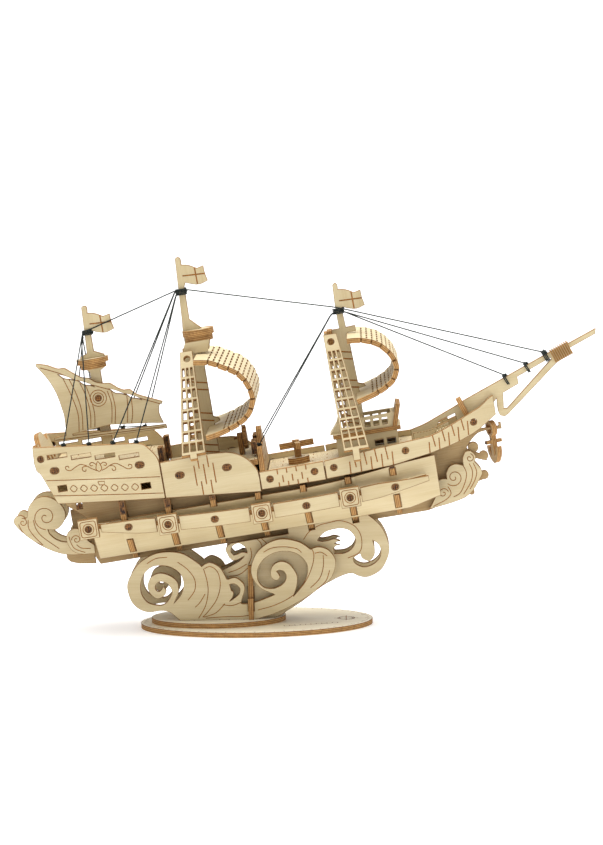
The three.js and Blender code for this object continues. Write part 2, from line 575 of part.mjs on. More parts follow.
function buildMasts() {
  const mizzenNest = [level(sheet(ellipse(mizzenX, 0, 15.6, 15.6), [], ply, 14), 99.6),
    level(sheet(ellipse(mizzenX, 0, 12.6, 12.6), [], ply, 14), 97)];
  const mizzen = runs(
    straight([mizzenFoot[0], keelTop + gap], [mizzenFoot[1], keelTop + gap], [mizzenFoot[1], 94], [-57.2, 96],
      [-57.2, 101.8], [-61.9, 104], [-61.9, 113.9], ...flagOutline(-62, 122.6).slice(1).reverse(),
      [-61.8, 122.8], [-61.6, 125.6]),
    round([-62, 126.2], [-63, 126.6], [-64.2, 126]),
    straight([-64.9, 111.4], [-65.4, 103.4], [-69, 102], [-69, 98], [mizzenFoot[0], 94]),
  );
  add(ship, "mizzen_mast", join(sideways(sheet(mizzen)), ...mizzenNest));

  const main = runs(
    straight([mainFoot[0], keelTop + gap], [mainFoot[1], keelTop + gap], [mainFoot[1], 59.4], [-6.8, 60.4], [-7.2, 61.8],
      [mainFoot[1], 63], [mainFoot[1], 98], [-9.4, 98.4], [-9.4, 106.4], [-8, 106.4], [-13.3, 111.7],
      [-13, 127.6], ...flagOutline(-13, 138.2).slice(1).reverse(), [-12.7, 138.4], [-12.6, 141]),
    round([-13, 142], [-14, 142.4], [-15.2, 141.8]),
    straight([-16.9, 112], [-17.4, 106.4], [-17.4, 98.4], [mainFoot[0], 97.6]),
  );
  add(ship, "main_mast", sideways(sheet(main)));

  const topX = -10.2;
  const rings = [[15.4, 104.9], [13.6, 102]].map(([size, z]) =>
    level(sheet(ellipse(topX, 0, size, size), [], 3, 14), z));
  const cheeks = [-1, 1].map((side) =>
    sideways(sheet(polygon([[-19.4, 95.4], [-6.6, 95.4], [-5, 101], [-17, 101]])), side * (ladderHead - ply - gap)));
  const passage = box(-18, -9.4 + gap, -slotWidth / 2, slotWidth / 2, 90, 110);
  add(ship, "main_top", cut(join(...rings, ...cheeks), passage), charredEdge);

  const fore = runs(
    straight([foreFoot[0], foreStepHeight], [foreFoot[1], foreStepHeight], [foreFoot[1], 65], [66, 65.4],
      [65.6, 66.6], [foreFoot[1], 67.6], [61.8, 88.6], [61.8, 92.8], [65.7, 92.8], [65.7, 95.6],
      [61.2, 95.4], [60.6, 105],
      ...flagOutline(60.3, 114).slice(1).reverse(), [60.3, 114.2], [60.4, 116]),
    round([60, 117], [59.2, 117.5], [58, 116.6]),
    straight([57.6, 105], [57.8, 95.2], [53.8, 95.2], [foreFoot[0], 88]),
  );
  const crossTree = box(51.6, 54.1, ply - ladderHead, ladderHead - ply, 88.4, 95.2);
  const foreArm = box(52, 56, -1.2, 1.2, 90, 95);
  add(ship, "fore_mast", join(sideways(sheet(fore)), crossTree, foreArm));
}

// ---- Sails --------------------------------------------------------------------------------------------------
// A sheet bowed into a D: the outer line from head to foot, thickened inwards.
function bowedSail(line, width, mastEdge) {
  const outer = new THREE.SplineCurve(vectors(line)).getSpacedPoints(17);
  const inner = outer.map((p, i) => {
    const ahead = outer[Math.min(i + 1, outer.length - 1)].clone().sub(outer[Math.max(i - 1, 0)]).normalize();
    return new THREE.Vector2(p.x + ahead.y * ply, p.y - ahead.x * ply);
  });
  const sail = sideways(sheet(new THREE.Shape([...outer, ...inner.reverse()]), [], width));
  return cut(sail, box(mastEdge - 20, mastEdge + gap, -slotWidth / 2, slotWidth / 2, 40, 110));
}

function buildSails() {
  const mainSail = [[-12.4, 94.9], [-8, 94.2], [-3.5, 93.1], [0.1, 91], [4.8, 88.3], [8.2, 85.8], [11.3, 81.4],
    [13.1, 76.6], [13.6, 72.6], [12.6, 68.2], [11.3, 65.6], [7.4, 61.9], [2.4, 59.4], [-2.4, 57.8], [-7.1, 56.6],
    [-12.4, 55.8]];
  const foreSail = [[61, 92.4], [66.5, 92], [71.1, 90.7], [75.6, 88.6], [78.9, 85.6], [82, 81.3], [83.4, 76.6],
    [83.4, 73.6], [81.1, 69], [78.8, 66.9], [75.7, 65], [71.8, 63.3], [67, 61.8], [61.4, 60.4]];
  add(ship, "main_sail", bowedSail(mainSail, mainSailWidth, mainFoot[1]));
  add(ship, "fore_sail", bowedSail(foreSail, foreSailWidth, foreFoot[1]));

  const lateenY = -(ply + gap);
  const lateen = runs(
    round([-90.4, 102.6], [-85.6, 101.2], [-80.5, 98.6], [-77.4, 98.4], [-74, 95.6], [-69.6, 92.4], [-66.4, 91.6],
      [-63.4, 89.2], [-59.8, 88], [-56.7, 87.5], [-53.4, 84.8], [-50.5, 83.2], [-47.6, 83], [-45.4, 80.6],
      [-40, 77.8], [-32.8, 74.6]),
    round([-33.2, 73.4], [-34.6, 73], [-35.4, 69], [-34, 64]),
    straight([-42.9, 65.4], [-59.7, 67.4], [-78.8, 65.9], [-78.8, 65.2], [-33, 63.2], [-32.8, 61.2], [-88.2, 63.2],
      [-88, 65.4], [-82, 65.8]),
    round([-81.4, 75.4], [-82.9, 85.4], [-86, 94], [-90.8, 101.6]),
  );
  const lens = (x, z) => runs(
    round([x, z], [x + 2.6, z - 2.6], [x + 5.4, z - 3.4], [x + 8.4, z - 4.8]),
    straight([x + 4, z - 1.8]),
  );
  const eyelets = [[-81, 96], [-71.8, 91.4], [-57.6, 85], [-50.2, 81.4]].map(([x, z]) => lens(x, z));
  add(ship, "lateen_sail", sideways(sheet(lateen, [...eyelets, ellipse(-63.4, 81.2, pegHole, pegHole)]), lateenY));
}

// ---- Shroud ladders -----------------------------------------------------------------------------------------
// A tapered ladder from a foot outside the bulwark to the masthead: foot and head give [x0, x1, z].
function ladder(name, foot, head, footY, rows, tabDepth, hook) {
  const rise = head[2] - foot[2];
  const lean = Math.atan((footY - ladderHead) / rise);
  const length = rise / Math.cos(lean);
  const [tabFrom, tabTo] = hook;
  const outline = polygon([[foot[0], 0], [tabFrom, 0], [tabFrom, -tabDepth], [tabTo, -tabDepth], [tabTo, 0],
    [foot[1], 0], [head[1], length], [head[0], length]]);
  const holes = [];
  const [bottom, top, rung, stile] = [1.6, length - 7.4, 1.3, 1];
  const pitch = (top - bottom) / rows;
  for (let r = 0; r < rows; r++) {
    const [w0, w1] = [bottom + r * pitch, bottom + (r + 1) * pitch - rung];
    for (let c = 0; c < 3; c++) {
      const left = (w) => {
        const x0 = foot[0] + ((head[0] - foot[0]) * w) / length;
        const x1 = foot[1] + ((head[1] - foot[1]) * w) / length;
        return [x0 + stile + (c * (x1 - x0 - stile)) / 3, x0 + ((c + 1) * (x1 - x0 - stile)) / 3];
      };
      const [a, b] = [left(w0), left(w1)];
      holes.push(polygon([[a[0], w0], [a[1], w0], [b[1], w1], [b[0], w1]]));
    }
  }
  holes.push(ellipse((head[0] + head[1]) / 2, length - 3.9, pegHole, pegHole));
  const plate = sideways(sheet(outline, holes, ply, 6)).rotateX(-lean);
  addBothSides(ship, name, plate.translate(0, -footY, foot[2]));
}

function buildLadders() {
  const outside = (x) => halfBeam(x) + 2.6;
  ladder("main_ladder", [-25.7, -14.1, 49.6], [-19.9, -14, 96.6], outside(-20), 8, 2.4, [-21.8, -18.3]);
  ladder("fore_ladder", [51, 63.2, 39.2], [49.8, 56.2, 93.6], outside(51), 10, 5.4, [55, 58.4]);
}

// ---- Bowsprit, anchor and scrolls ---------------------------------------------------------------------------
function buildBow() {
  const deckTop = (x) => mainDeckLine(x) + ply / 2 + gap;
  const spar = runs(
    straight([84, deckTop(84)], [92.7, deckTop(92.7)], [95.5, deckTop(95.5) + 0.2], [98.4, 42.6], [106.6, 45.2],
      [107.2, 40.6], [118, 42], [126.4, 47.6], [127.8, 49], [127.6, 42.6]),
    round([128.2, 40.6], [130.3, 39.7], [132.6, 40.8]),
    straight([159.2, 61.3], [167.9, 64.9], [166.9, 67.6], [180, 72.4], [180.6, 74.9], [166.6, 69.9], [166.2, 70.4],
      [157.6, 67.4], [112.6, 50.9], [107, 48.4], [92, 42.6], [84, 40.6]),
  );
  const crotch = polygon([[130.6, 43.6], [132.2, 43.4], [157, 63.6], [156.8, 64.4], [139.4, 57.8], [139.6, 54.4],
    [131.4, 51.2]]);
  const slope = Math.atan2(74.9 - 51, 180.6 - 112.6);
  const cradle = across(sheet(polygon([[-6, -4.4], [6, -4.4], [6, 1], [3, 5], [-3, 5], [-6, 1]])))
    .rotateY(-slope).translate(110.9, 0, 47.4);
  add(ship, "bowsprit", join(sideways(sheet(spar, [crotch])), cradle));

  const bowScroll = runs(
    round([86.8, 0.9], [89.4, 4.4], [91.3, 8], [92.3, 13.2], [95.3, 14.6], [97.6, 14.2]),
    round([97.7, 16.8], [99.6, 19.8], [103, 20.8], [106.6, 19.4]),
    round([106.7, 22.8], [108.4, 25.8], [111.2, 25.9], [113.3, 23], [112.3, 20.4]),
    round([114.6, 17], [115.2, 14.4], [113.3, 11.4], [109.8, 7], [105, 3.8], [97.8, 2.2]),
  );
  addBothSides(ship, "bow_scroll", sideways(sheet(bowScroll), -(ply + gap)));

  const sternScroll = runs(
    round([-107.3, 30], [-105.6, 34.8], [-102.4, 37.7], [-98.6, 38.6], [-94.8, 37.7], [-91.4, 35], [-89.1, 31.5],
      [-88.7, 27.4], [-90.8, 23.8], [-94.4, 21.6], [-98.4, 22.2]),
    round([-98, 20], [-96.2, 17.6], [-93.4, 15.6], [-89, 14.4], [-80, 14.2]),
    round([-77.8, 12], [-77.4, 9], [-79, 7.4], [-86, 7.6], [-92, 8.7], [-97.6, 11.2], [-103.2, 15], [-108.3, 19.7],
      [-112.3, 24.6], [-114.2, 28.4], [-112.8, 30.8], [-110.2, 31.2], [-108.2, 29.4]),
  );
  const smallScroll = runs(
    round([-90, 16.8], [-89, 19.2], [-86.2, 20.8], [-83.2, 20.4], [-81.4, 17.6], [-79.8, 14.2], [-77, 11.4]),
    straight([-77.2, 7.2], [-85.3, 8.4], [-88.6, 11]),
  );
  const scrolls = [sideways(sheet(sternScroll), -sternScrollY), sideways(sheet(smallScroll), -sternScrollY - ply)];
  addBothSides(ship, "stern_scroll", join(...scrolls));
}

function anchorSolid() {
  const ring = sideways(sheet(ellipse(0, 0, 7.8, 7.8), [ellipse(0, 0, 4.9, 4.9)]));
  const shank = sideways(sheet(polygon([[-1.2, -3.2], [1.2, -3.2], [1.5, -15], [-1.5, -15]])));
  const crown = sideways(sheet(runs(
    round([-5.6, -8.6], [-5.2, -12], [-3, -15.4], [0, -17.2], [3, -15.4], [5.2, -12], [5.6, -8.6]),
    round([3.4, -9.4], [3, -11.6], [1.4, -13.4]),
    straight([0, -13], [-1.4, -13.4]),
    round([-3, -11.6], [-3.4, -9.4]),
  )));
  const stock = box(-1.2, 1.2, -4.2, 4.2, -7.4, -5.6);
  return join(ring, shank, crown, stock);
}

function buildAnchor() {
  const anchor = anchorSolid().rotateZ(THREE.MathUtils.degToRad(-66));
  add(ship, "anchor", anchor.translate(anchorX, 0, hookTop - hookDepth / 2), charredEdge);
}

// ---- Deck fittings ------------------------------------------------------------------------------------------
function buildFittings() {
  const deckTop = (x) => mainDeckLine(x) + ply / 2 + gap;
  const [x0, x1, half, eaves] = [47.6, 77.6, 11, 42.6];
  const belowDeck = bar([x0 - 5, 54, 68, x1 + 5], () => 40, () => -40, () => 10, deckTop);
  const wall = 2;
  const shell = cut(box(x0, x1, -half, half, 30, eaves + 2),
    box(x0 + wall, x1 - wall, wall - half, half - wall, 20, eaves), belowDeck);
  const roof = box(x0 - 1.2, x1 + 2, -half - 1.2, half + 1.2, eaves + 0.6, eaves + 2.6);
  const rails = cut(
    box(60, x1, -half, half, eaves + 2, eaves + 9),
    box(62, x1 - 2, 2 - half, half - 2, eaves + 2.6, 70),
  );
  const frontSlots = steps(-9.2, 7.4, 4).map((y) => box(-1, 4, y, y + 1.8, 3, 9.4));
  const front = cut(box(0, 2.2, -half - 1, half + 1, 0, 11.4), ...frontSlots);
  front.rotateY(0.3).translate(x1 - 2, 0, eaves + 2.2);
  const gable = sideways(sheet(
    polygon([[45, eaves + 2.4], [51, eaves + 2.4], [50.4, eaves + 11], [48.8, eaves + 7]]), [], 14,
  ));
  const windows = [66, 72].map((x) => box(x, x + 4.4, -20, 20, 36.8, 40.2));
  const slot = box(foreFoot[0] - gap - 0.2, foreFoot[1] + gap + 0.2, -slotWidth / 2, slotWidth / 2, 20, 90);
  const railSlots = steps(62.6, 71, 2).map((x) => box(x, x + 2.8, -20, 20, eaves + 4, eaves + 7.4));
  add(ship, "deckhouse", cut(join(shell, roof, rails, front, gable), ...windows, ...railSlots, slot));

  const barLength = 16.8;
  const barLow = 41.2;
  const bars = [0, 1].map((turn) =>
    box(-barLength / 2, barLength / 2, -ply / 2, ply / 2, barLow, barLow + 2.9).rotateZ((turn * Math.PI) / 2));
  const post = new THREE.CylinderGeometry(capstanPost / 2, capstanPost / 2, 9.3, 16)
    .rotateX(Math.PI / 2).translate(0, 0, 40.2);
  const head = join(post, ...bars).rotateZ(THREE.MathUtils.degToRad(8));
  add(ship, "capstan_head", head.translate(capstanX, 0, 0), charredEdge);

  const rim = across(sheet(ellipse(0, 0, 9.6, 9.6), [ellipse(0, 0, 6.6, 6.6)], 2, 5));
  const spokes = [0, 1, 2, 3].map((k) => box(-1, 1, -5.8, 5.8, -0.7, 0.7).rotateX((k * Math.PI) / 4));
  const axle = new THREE.CylinderGeometry(axleDiameter / 2, axleDiameter / 2, 6.4, 12)
    .rotateZ(Math.PI / 2).translate(-2.4, 0, 0);
  const wheel = join(rim, ...spokes, axle);
  add(ship, "ships_wheel", wheel.translate(wheelStandX + ply / 2 + gap + 1, 0, wheelAxisHeight), charredEdge);
}

// ---- Rigging ------------------------------------------------------------------------------------------------
// A taut thread: straight between its points, meeting each one.
class TautLine extends THREE.Curve {
  constructor(points) {
    super();
    this.points = points;
  }

  getPoint(t) {
    const along = t * (this.points.length - 1);
    const i = Math.min(Math.floor(along), this.points.length - 2);
    return this.points[i].clone().lerp(this.points[i + 1], along - i);
  }

  getPointAt(t) {
    return this.getPoint(t);
  }

  getTangentAt(t) {
    return this.getTangent(t);
  }
}

// Points are in the ship's frame. Shrouds pass behind their mast's pole, and stays run down its starboard face.
const beside = ply / 2 + gap + threadDiameter / 2;
const threads = {
  stay_line: [[-64.6, -beside, 114.4], [-61, -beside, 115], [-18, -beside, 126.4], [-11.5, -beside, 126],
    [56.5, -beside, 106.2], [62, -beside, 104.2], [154.4, -beside, 67.4]],
  forestay_line: [[144.6, 0, 63.4], [62, -beside, 102.8], [57.2, -beside, 104.6], [56.8, 0, 104.8],
    [57.2, beside, 104.6], [62, beside, 102.4], [133.6, 0, 59.4]],
  mizzen_shroud_line: [[-81.3, -28.4, 64.1], [-66, -2.6, 112.6], [-65.8, 0, 113.4], [-66, 2.6, 112.6],
    [-81.3, 28.4, 64.1], [-69, 29.4, 62.7], [-66.6, 3.4, 110.2], [-65.8, 0, 111.6], [-66.6, -3.4, 110.2],
    [-69, -29.4, 62.7]],
  main_shroud_line: [[-57.5, -30.1, 61.5], [-18.2, -2.6, 125.6], [-16.9, 0, 126.6], [-18.2, 2.6, 125.6],
    [-57.5, 30.1, 61.5], [-46.3, 30.5, 60.2], [-18, 2.6, 123.6], [-17.1, 0, 124.6], [-18, -2.6, 123.6],
    [-46.3, -30.5, 60.2]],
  fore_shroud_line: [[bulkheadX, -16, 47.5], [54.6, -2.2, 102], [56.8, 0, 103.6], [54.6, 2.2, 102],
    [bulkheadX, 16, 47.5]],
};

function buildRigging() {
  for (const [name, points] of Object.entries(threads)) {
    const path = new TautLine(points.map((p) => new THREE.Vector3(...p)));
    const section = new THREE.Shape().absarc(0, 0, threadDiameter / 2, 0, 2 * Math.PI);
    const options = { steps: points.length - 1, curveSegments: 4, extrudePath: path };
    add(ship, name, new THREE.ExtrudeGeometry(section, options), threadMaterial);
  }
}

buildStand();
buildKeel();
buildRibs();
buildPlanking();
buildBulwarks();
buildWales();
buildDecks();
buildTransom();
buildMasts();
buildSails();
buildLadders();
buildBow();
buildAnchor();
buildFittings();
buildRigging();

export default model;
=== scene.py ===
"""A laser-cut plywood sailing ship on a stand of wave scrolls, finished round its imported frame.

Blender works in metres. Outlines and scored lines are worked in the ship's own millimetres:
x towards the bow, y to port, z up from the keel line. The stand uses the same axes from the floor up.
"""
import math

import bmesh
import bpy
import numpy as np
from mathutils import Matrix, Vector
from mathutils.geometry import delaunay_2d_cdt


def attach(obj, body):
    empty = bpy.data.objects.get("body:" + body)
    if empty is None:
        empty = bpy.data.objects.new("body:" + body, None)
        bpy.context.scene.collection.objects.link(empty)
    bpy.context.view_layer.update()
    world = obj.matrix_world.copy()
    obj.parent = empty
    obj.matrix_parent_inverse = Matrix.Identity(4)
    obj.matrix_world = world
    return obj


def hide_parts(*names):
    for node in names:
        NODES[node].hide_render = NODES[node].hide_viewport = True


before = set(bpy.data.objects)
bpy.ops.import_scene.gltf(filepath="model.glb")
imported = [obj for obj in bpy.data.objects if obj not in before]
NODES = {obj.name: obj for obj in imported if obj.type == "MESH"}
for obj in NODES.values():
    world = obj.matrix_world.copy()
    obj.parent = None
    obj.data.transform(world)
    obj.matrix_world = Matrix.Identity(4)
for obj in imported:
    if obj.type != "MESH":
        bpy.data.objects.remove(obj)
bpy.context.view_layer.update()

# ---- Driving dimensions, in millimetres ----------------------------------------------------------
MM = 0.001
PLY = 2.5
GAP = 0.3
THREAD = 0.6
KEEL_HEIGHT = 43.0
BOW_UP = math.radians(8.2)
HALF_BEAM = 32.0
POOP_TOP = 50.0
QUARTER_TOP = 43.5
BULKHEAD_X = 10.9
CAPSTAN_X = 27.9
WALE_OUT = 1.6  # how far the middle of the wale strips stands outside the bulwarks
WALE_HALF = 3.4
PORT_HALF = 4.7
BASE_LENGTH, BASE_WIDTH = 114.0, 67.0
SCORE_WIDTH = 0.42
WIDE_SCORE = 0.6
MAST_SCORE = 0.7
SCORE_DEPTH = 0.2
RIM = 0.2  # width of the scorched line along every cut
VENEERS = 3  # dark core lines that show through the thickness of a sheet

SHIP = Matrix.Translation((0, 0, KEEL_HEIGHT * MM)) @ Matrix.Rotation(-BOW_UP, 4, "Y") @ Matrix.Scale(MM, 4)
STAND = Matrix.Scale(MM, 4)
ROOT = "ship_on_stand"
SIDES = (("starboard", -1), ("port", 1))


def on_ship(x, y, z):
    """A point given in the ship's millimetres, in metres."""
    return SHIP @ Vector((x, y, z))


# ---- Camera --------------------------------------------------------------------------------------
AZIMUTH, ELEVATION, ROLL = (math.radians(angle) for angle in (1.1, 6.89, 1.35))
LENS = 123.55  # mm, behind a 36 mm frame
CAMERA_AIM = Vector((0.024265, 0, 0.099789))
CAMERA_DISTANCE = 1.41614


def make_camera():
    back = Vector((math.sin(AZIMUTH) * math.cos(ELEVATION), -math.cos(AZIMUTH) * math.cos(ELEVATION),
                   math.sin(ELEVATION)))
    level = Vector((math.cos(AZIMUTH), math.sin(AZIMUTH), 0))
    up = back.cross(level)
    right = math.cos(ROLL) * level - math.sin(ROLL) * up
    up = math.sin(ROLL) * level + math.cos(ROLL) * up
    camera = bpy.data.objects.new("camera", bpy.data.cameras.new("camera"))
    bpy.context.scene.collection.objects.link(camera)
    camera.data.sensor_fit = "VERTICAL"
    camera.data.sensor_height = 36.0
    camera.data.sensor_width = 36.0
    camera.data.lens = LENS
    turn = Matrix((right, up, back)).transposed().to_4x4()
    camera.matrix_world = Matrix.Translation(CAMERA_AIM + CAMERA_DISTANCE * back) @ turn
    bpy.context.scene.camera = camera


make_camera()


# ---- Shader groups -------------------------------------------------------------------------------
def srgb(red, green, blue):
    """A colour given in 0 to 255 display values, as linear RGBA."""
    def linear(c):
        c /= 255
        return c / 12.92 if c <= 0.04045 else ((c + 0.055) / 1.055) ** 2.4
    return (linear(red), linear(green), linear(blue), 1.0)


class Nodes:
    """Adds nodes to one tree from left to right and links them."""

    def __init__(self, tree):
        self.tree = tree
        self.column = 0

    def add(self, kind, values=None, **settings):
        node = self.tree.nodes.new(kind)
        node.location = (self.column * 180, -60 * (self.column % 5))
        self.column += 1
        for key, value in settings.items():
            setattr(node, key, value)
        for socket, value in (values or {}).items():
            if isinstance(value, bpy.types.NodeSocket):
                self.tree.links.new(value, node.inputs[socket])
            else:
                node.inputs[socket].default_value = value
        return node

    def math(self, operation, a, b=0.0, clamp=False):
        return self.add("ShaderNodeMath", {0: a, 1: b}, operation=operation, use_clamp=clamp).outputs[0]

    def noise(self, vector, scale, detail=3.0, roughness=0.5):
        return self.add("ShaderNodeTexNoise", {"Vector": vector, "Scale": scale, "Detail": detail,
                                               "Roughness": roughness}).outputs["Fac"]

    def stretched(self, vector, x, y, z=1.0):
        return self.add("ShaderNodeMapping", {"Vector": vector, "Scale": (x, y, z)}).outputs[0]

    def ramp(self, factor, low, high):
        return self.add("ShaderNodeMapRange", {0: factor, 1: low, 2: high}, clamp=True).outputs[0]

    def mix(self, factor, a, b):
        node = self.add("ShaderNodeMix", data_type="RGBA")
        for socket, value in ((node.inputs[0], factor), (node.inputs[6], a), (node.inputs[7], b)):
            if isinstance(value, bpy.types.NodeSocket):
                self.tree.links.new(value, socket)
            else:
                socket.default_value = value
        return node.outputs[2]


def group(name, inputs, outputs):
    """An empty shader group with its sockets, and its input and output nodes."""
    tree = bpy.data.node_groups.new(name, "ShaderNodeTree")
    kinds = {"color": "NodeSocketColor", "value": "NodeSocketFloat", "vector": "NodeSocketVector"}
    for label, (kind, default) in inputs.items():
        socket = tree.interface.new_socket(label, in_out="INPUT", socket_type=kinds[kind])
        socket.default_value = default
    for label, kind in outputs.items():
        tree.interface.new_socket(label, in_out="OUTPUT", socket_type=kinds[kind])
    nodes = Nodes(tree)
    return nodes, nodes.add("NodeGroupInput").outputs, nodes.add("NodeGroupOutput").inputs


def grain_group():
    """Sliced birch: fine streaks along U, a broad wandering figure and short pores."""
    nodes, given, result = group(
        "Birch grain",
        {"Pale": ("color", srgb(238, 224, 190)), "Streak": ("color", srgb(214, 190, 146)),
         "Figure": ("value", 0.5), "Offset": ("value", 0.0)},
        {"Color": "color", "Height": "value", "Roughness": "value"},
    )
    uv = nodes.add("ShaderNodeUVMap", uv_map="sheet").outputs[0]
    shift = nodes.add("ShaderNodeCombineXYZ", {0: given["Offset"], 1: given["Offset"], 2: given["Offset"]})
    place = nodes.add("ShaderNodeVectorMath", {0: uv, 1: shift.outputs[0]}, operation="ADD").outputs[0]
    figure = nodes.noise(nodes.stretched(place, 0.02, 0.16), 1.0, 3.0)
    streak = nodes.noise(nodes.stretched(place, 0.05, 1.7), 1.0, 5.0, 0.65)
    fleck = nodes.noise(nodes.stretched(place, 0.35, 4.5), 1.0, 2.0)
    flecks = nodes.ramp(fleck, 0.62, 0.78)
    streaks = nodes.ramp(streak, 0.36, 0.72)
    figures = nodes.ramp(figure, 0.3, 0.75)
    both = nodes.math("ADD", nodes.math("MULTIPLY", streaks, 0.55), figures)
    amount = nodes.math("MULTIPLY", both, given["Figure"])
    tone = nodes.mix(nodes.math("ADD", amount, nodes.math("MULTIPLY", flecks, 0.25), clamp=True),
                     given["Pale"], given["Streak"])
    nodes.tree.links.new(tone, result["Color"])
    height = nodes.math("SUBTRACT", streak, nodes.math("MULTIPLY", flecks, 0.6))
    nodes.tree.links.new(height, result["Height"])
    rough = nodes.math("ADD", nodes.math("MULTIPLY", streaks, 0.14), 0.56)
    nodes.tree.links.new(rough, result["Roughness"])
    return nodes.tree


def layers_group():
    """The cut edge of plywood: V runs through the sheet, with a darker core and uneven burning along U."""
    nodes, given, result = group(
        "Burnt plies",
        {"Veneer": ("color", srgb(170, 120, 66)), "Core": ("color", srgb(112, 70, 34)),
         "Char": ("color", srgb(48, 29, 17)), "Burning": ("value", 0.5)},
        {"Color": "color", "Height": "value", "Roughness": "value"},
    )
    uv = nodes.add("ShaderNodeUVMap", uv_map="sheet").outputs[0]
    through = nodes.add("ShaderNodeSeparateXYZ", {0: uv}).outputs[1]
    wave = nodes.math("SINE", nodes.math("MULTIPLY", through, VENEERS * 2 * math.pi / PLY))
    core = nodes.ramp(wave, -0.2, 0.5)
    burn = nodes.noise(nodes.stretched(uv, 0.35, 0.5), 1.0, 4.0, 0.6)
    ticks = nodes.noise(nodes.stretched(uv, 2.4, 0.25), 1.0, 2.0)
    plies = nodes.mix(core, given["Veneer"], given["Core"])
    patches = nodes.ramp(nodes.math("ADD", burn, nodes.math("MULTIPLY", ticks, 0.35)), 0.5, 0.9)
    heat = nodes.math("MULTIPLY", given["Burning"], 1.7)
    burnt = nodes.math("MULTIPLY", patches, heat, clamp=True)
    nodes.tree.links.new(nodes.mix(burnt, plies, given["Char"]), result["Color"])
    nodes.tree.links.new(nodes.math("ADD", nodes.math("MULTIPLY", core, 0.5), ticks), result["Height"])
    nodes.tree.links.new(nodes.math("ADD", nodes.math("MULTIPLY", burnt, -0.15), 0.85), result["Roughness"])
    return nodes.tree


GRAIN = grain_group()
LAYERS = layers_group()


def finish(name, make):
    """A material whose colour, roughness and height come from make(nodes)."""
    material = bpy.data.materials.new(name)
    material.use_nodes = True
    nodes = Nodes(material.node_tree)
    shader = material.node_tree.nodes["Principled BSDF"]
    color, height, rough, depth = make(nodes)
    link = material.node_tree.links.new
    link(color, shader.inputs["Base Color"])
    link(rough, shader.inputs["Roughness"])
    bump = nodes.add("ShaderNodeBump", {"Height": height, "Strength": 0.6, "Distance": depth})
    link(bump.outputs[0], shader.inputs["Normal"])
    shader.inputs["Specular IOR Level"].default_value = 0.35
    return material


def wood_face(pale, streak, figure, offset):
    def make(nodes):
        grain = nodes.add("ShaderNodeGroup", node_tree=GRAIN)
        grain.inputs["Pale"].default_value = pale
        grain.inputs["Streak"].default_value = streak
        grain.inputs["Figure"].default_value = figure
        grain.inputs["Offset"].default_value = offset
        return grain.outputs["Color"], grain.outputs["Height"], grain.outputs["Roughness"], 0.00008
    return make


def wood_edge(veneer, core, char, burning):
    def make(nodes):
        plies = nodes.add("ShaderNodeGroup", node_tree=LAYERS)
        plies.inputs["Veneer"].default_value = veneer
        plies.inputs["Core"].default_value = core
        plies.inputs["Char"].default_value = char
        plies.inputs["Burning"].default_value = burning
        return plies.outputs["Color"], plies.outputs["Height"], plies.outputs["Roughness"], 0.0001
    return make


BIRCH = finish("birch face", wood_face(srgb(202, 187, 150), srgb(178, 157, 116), 0.6, 0.0))
# A darker copy of the birch for sheets that sit back in shadow, under the hull or behind the bulwarks:
# painted shade.
SHADED = finish("shaded birch face", wood_face(srgb(174, 149, 106), srgb(142, 112, 70), 0.7, 31.0))
# A paler, greyer copy of the birch for the stand's level tops: painted light, as if they caught the light
# from above.
PAINTED_LIGHT_BASE_BIRCH = finish("base birch with painted light", wood_face(srgb(242, 236, 214), srgb(224, 212, 184), 0.45, 57.0))
RIM_WOOD = finish("scorched rim", wood_face(srgb(150, 112, 66), srgb(98, 64, 34), 0.8, 12.0))
EDGE = finish("burnt ply edge", wood_edge(srgb(192, 150, 92), srgb(144, 98, 52), srgb(66, 41, 22), 0.3))
END_GRAIN = finish("burnt tab end", wood_edge(srgb(150, 104, 56), srgb(84, 50, 24), srgb(34, 21, 13), 0.8))
SCORE = finish("laser score", wood_edge(srgb(176, 118, 58), srgb(146, 92, 42), srgb(86, 52, 26), 0.35))


def thread_finish(nodes):
    place = nodes.add("ShaderNodeTexCoord").outputs["Object"]
    strands = nodes.noise(nodes.stretched(place, 900, 900, 900), 1.0, 2.0)
    fuzz = nodes.noise(nodes.stretched(place, 4000, 4000, 4000), 1.0, 2.0)
    color = nodes.mix(strands, srgb(34, 44, 40), srgb(12, 18, 17))
    return color, fuzz, nodes.math("ADD", nodes.math("MULTIPLY", strands, 0.2), 0.65), 0.0001


TWINE = finish("twisted thread", thread_finish)


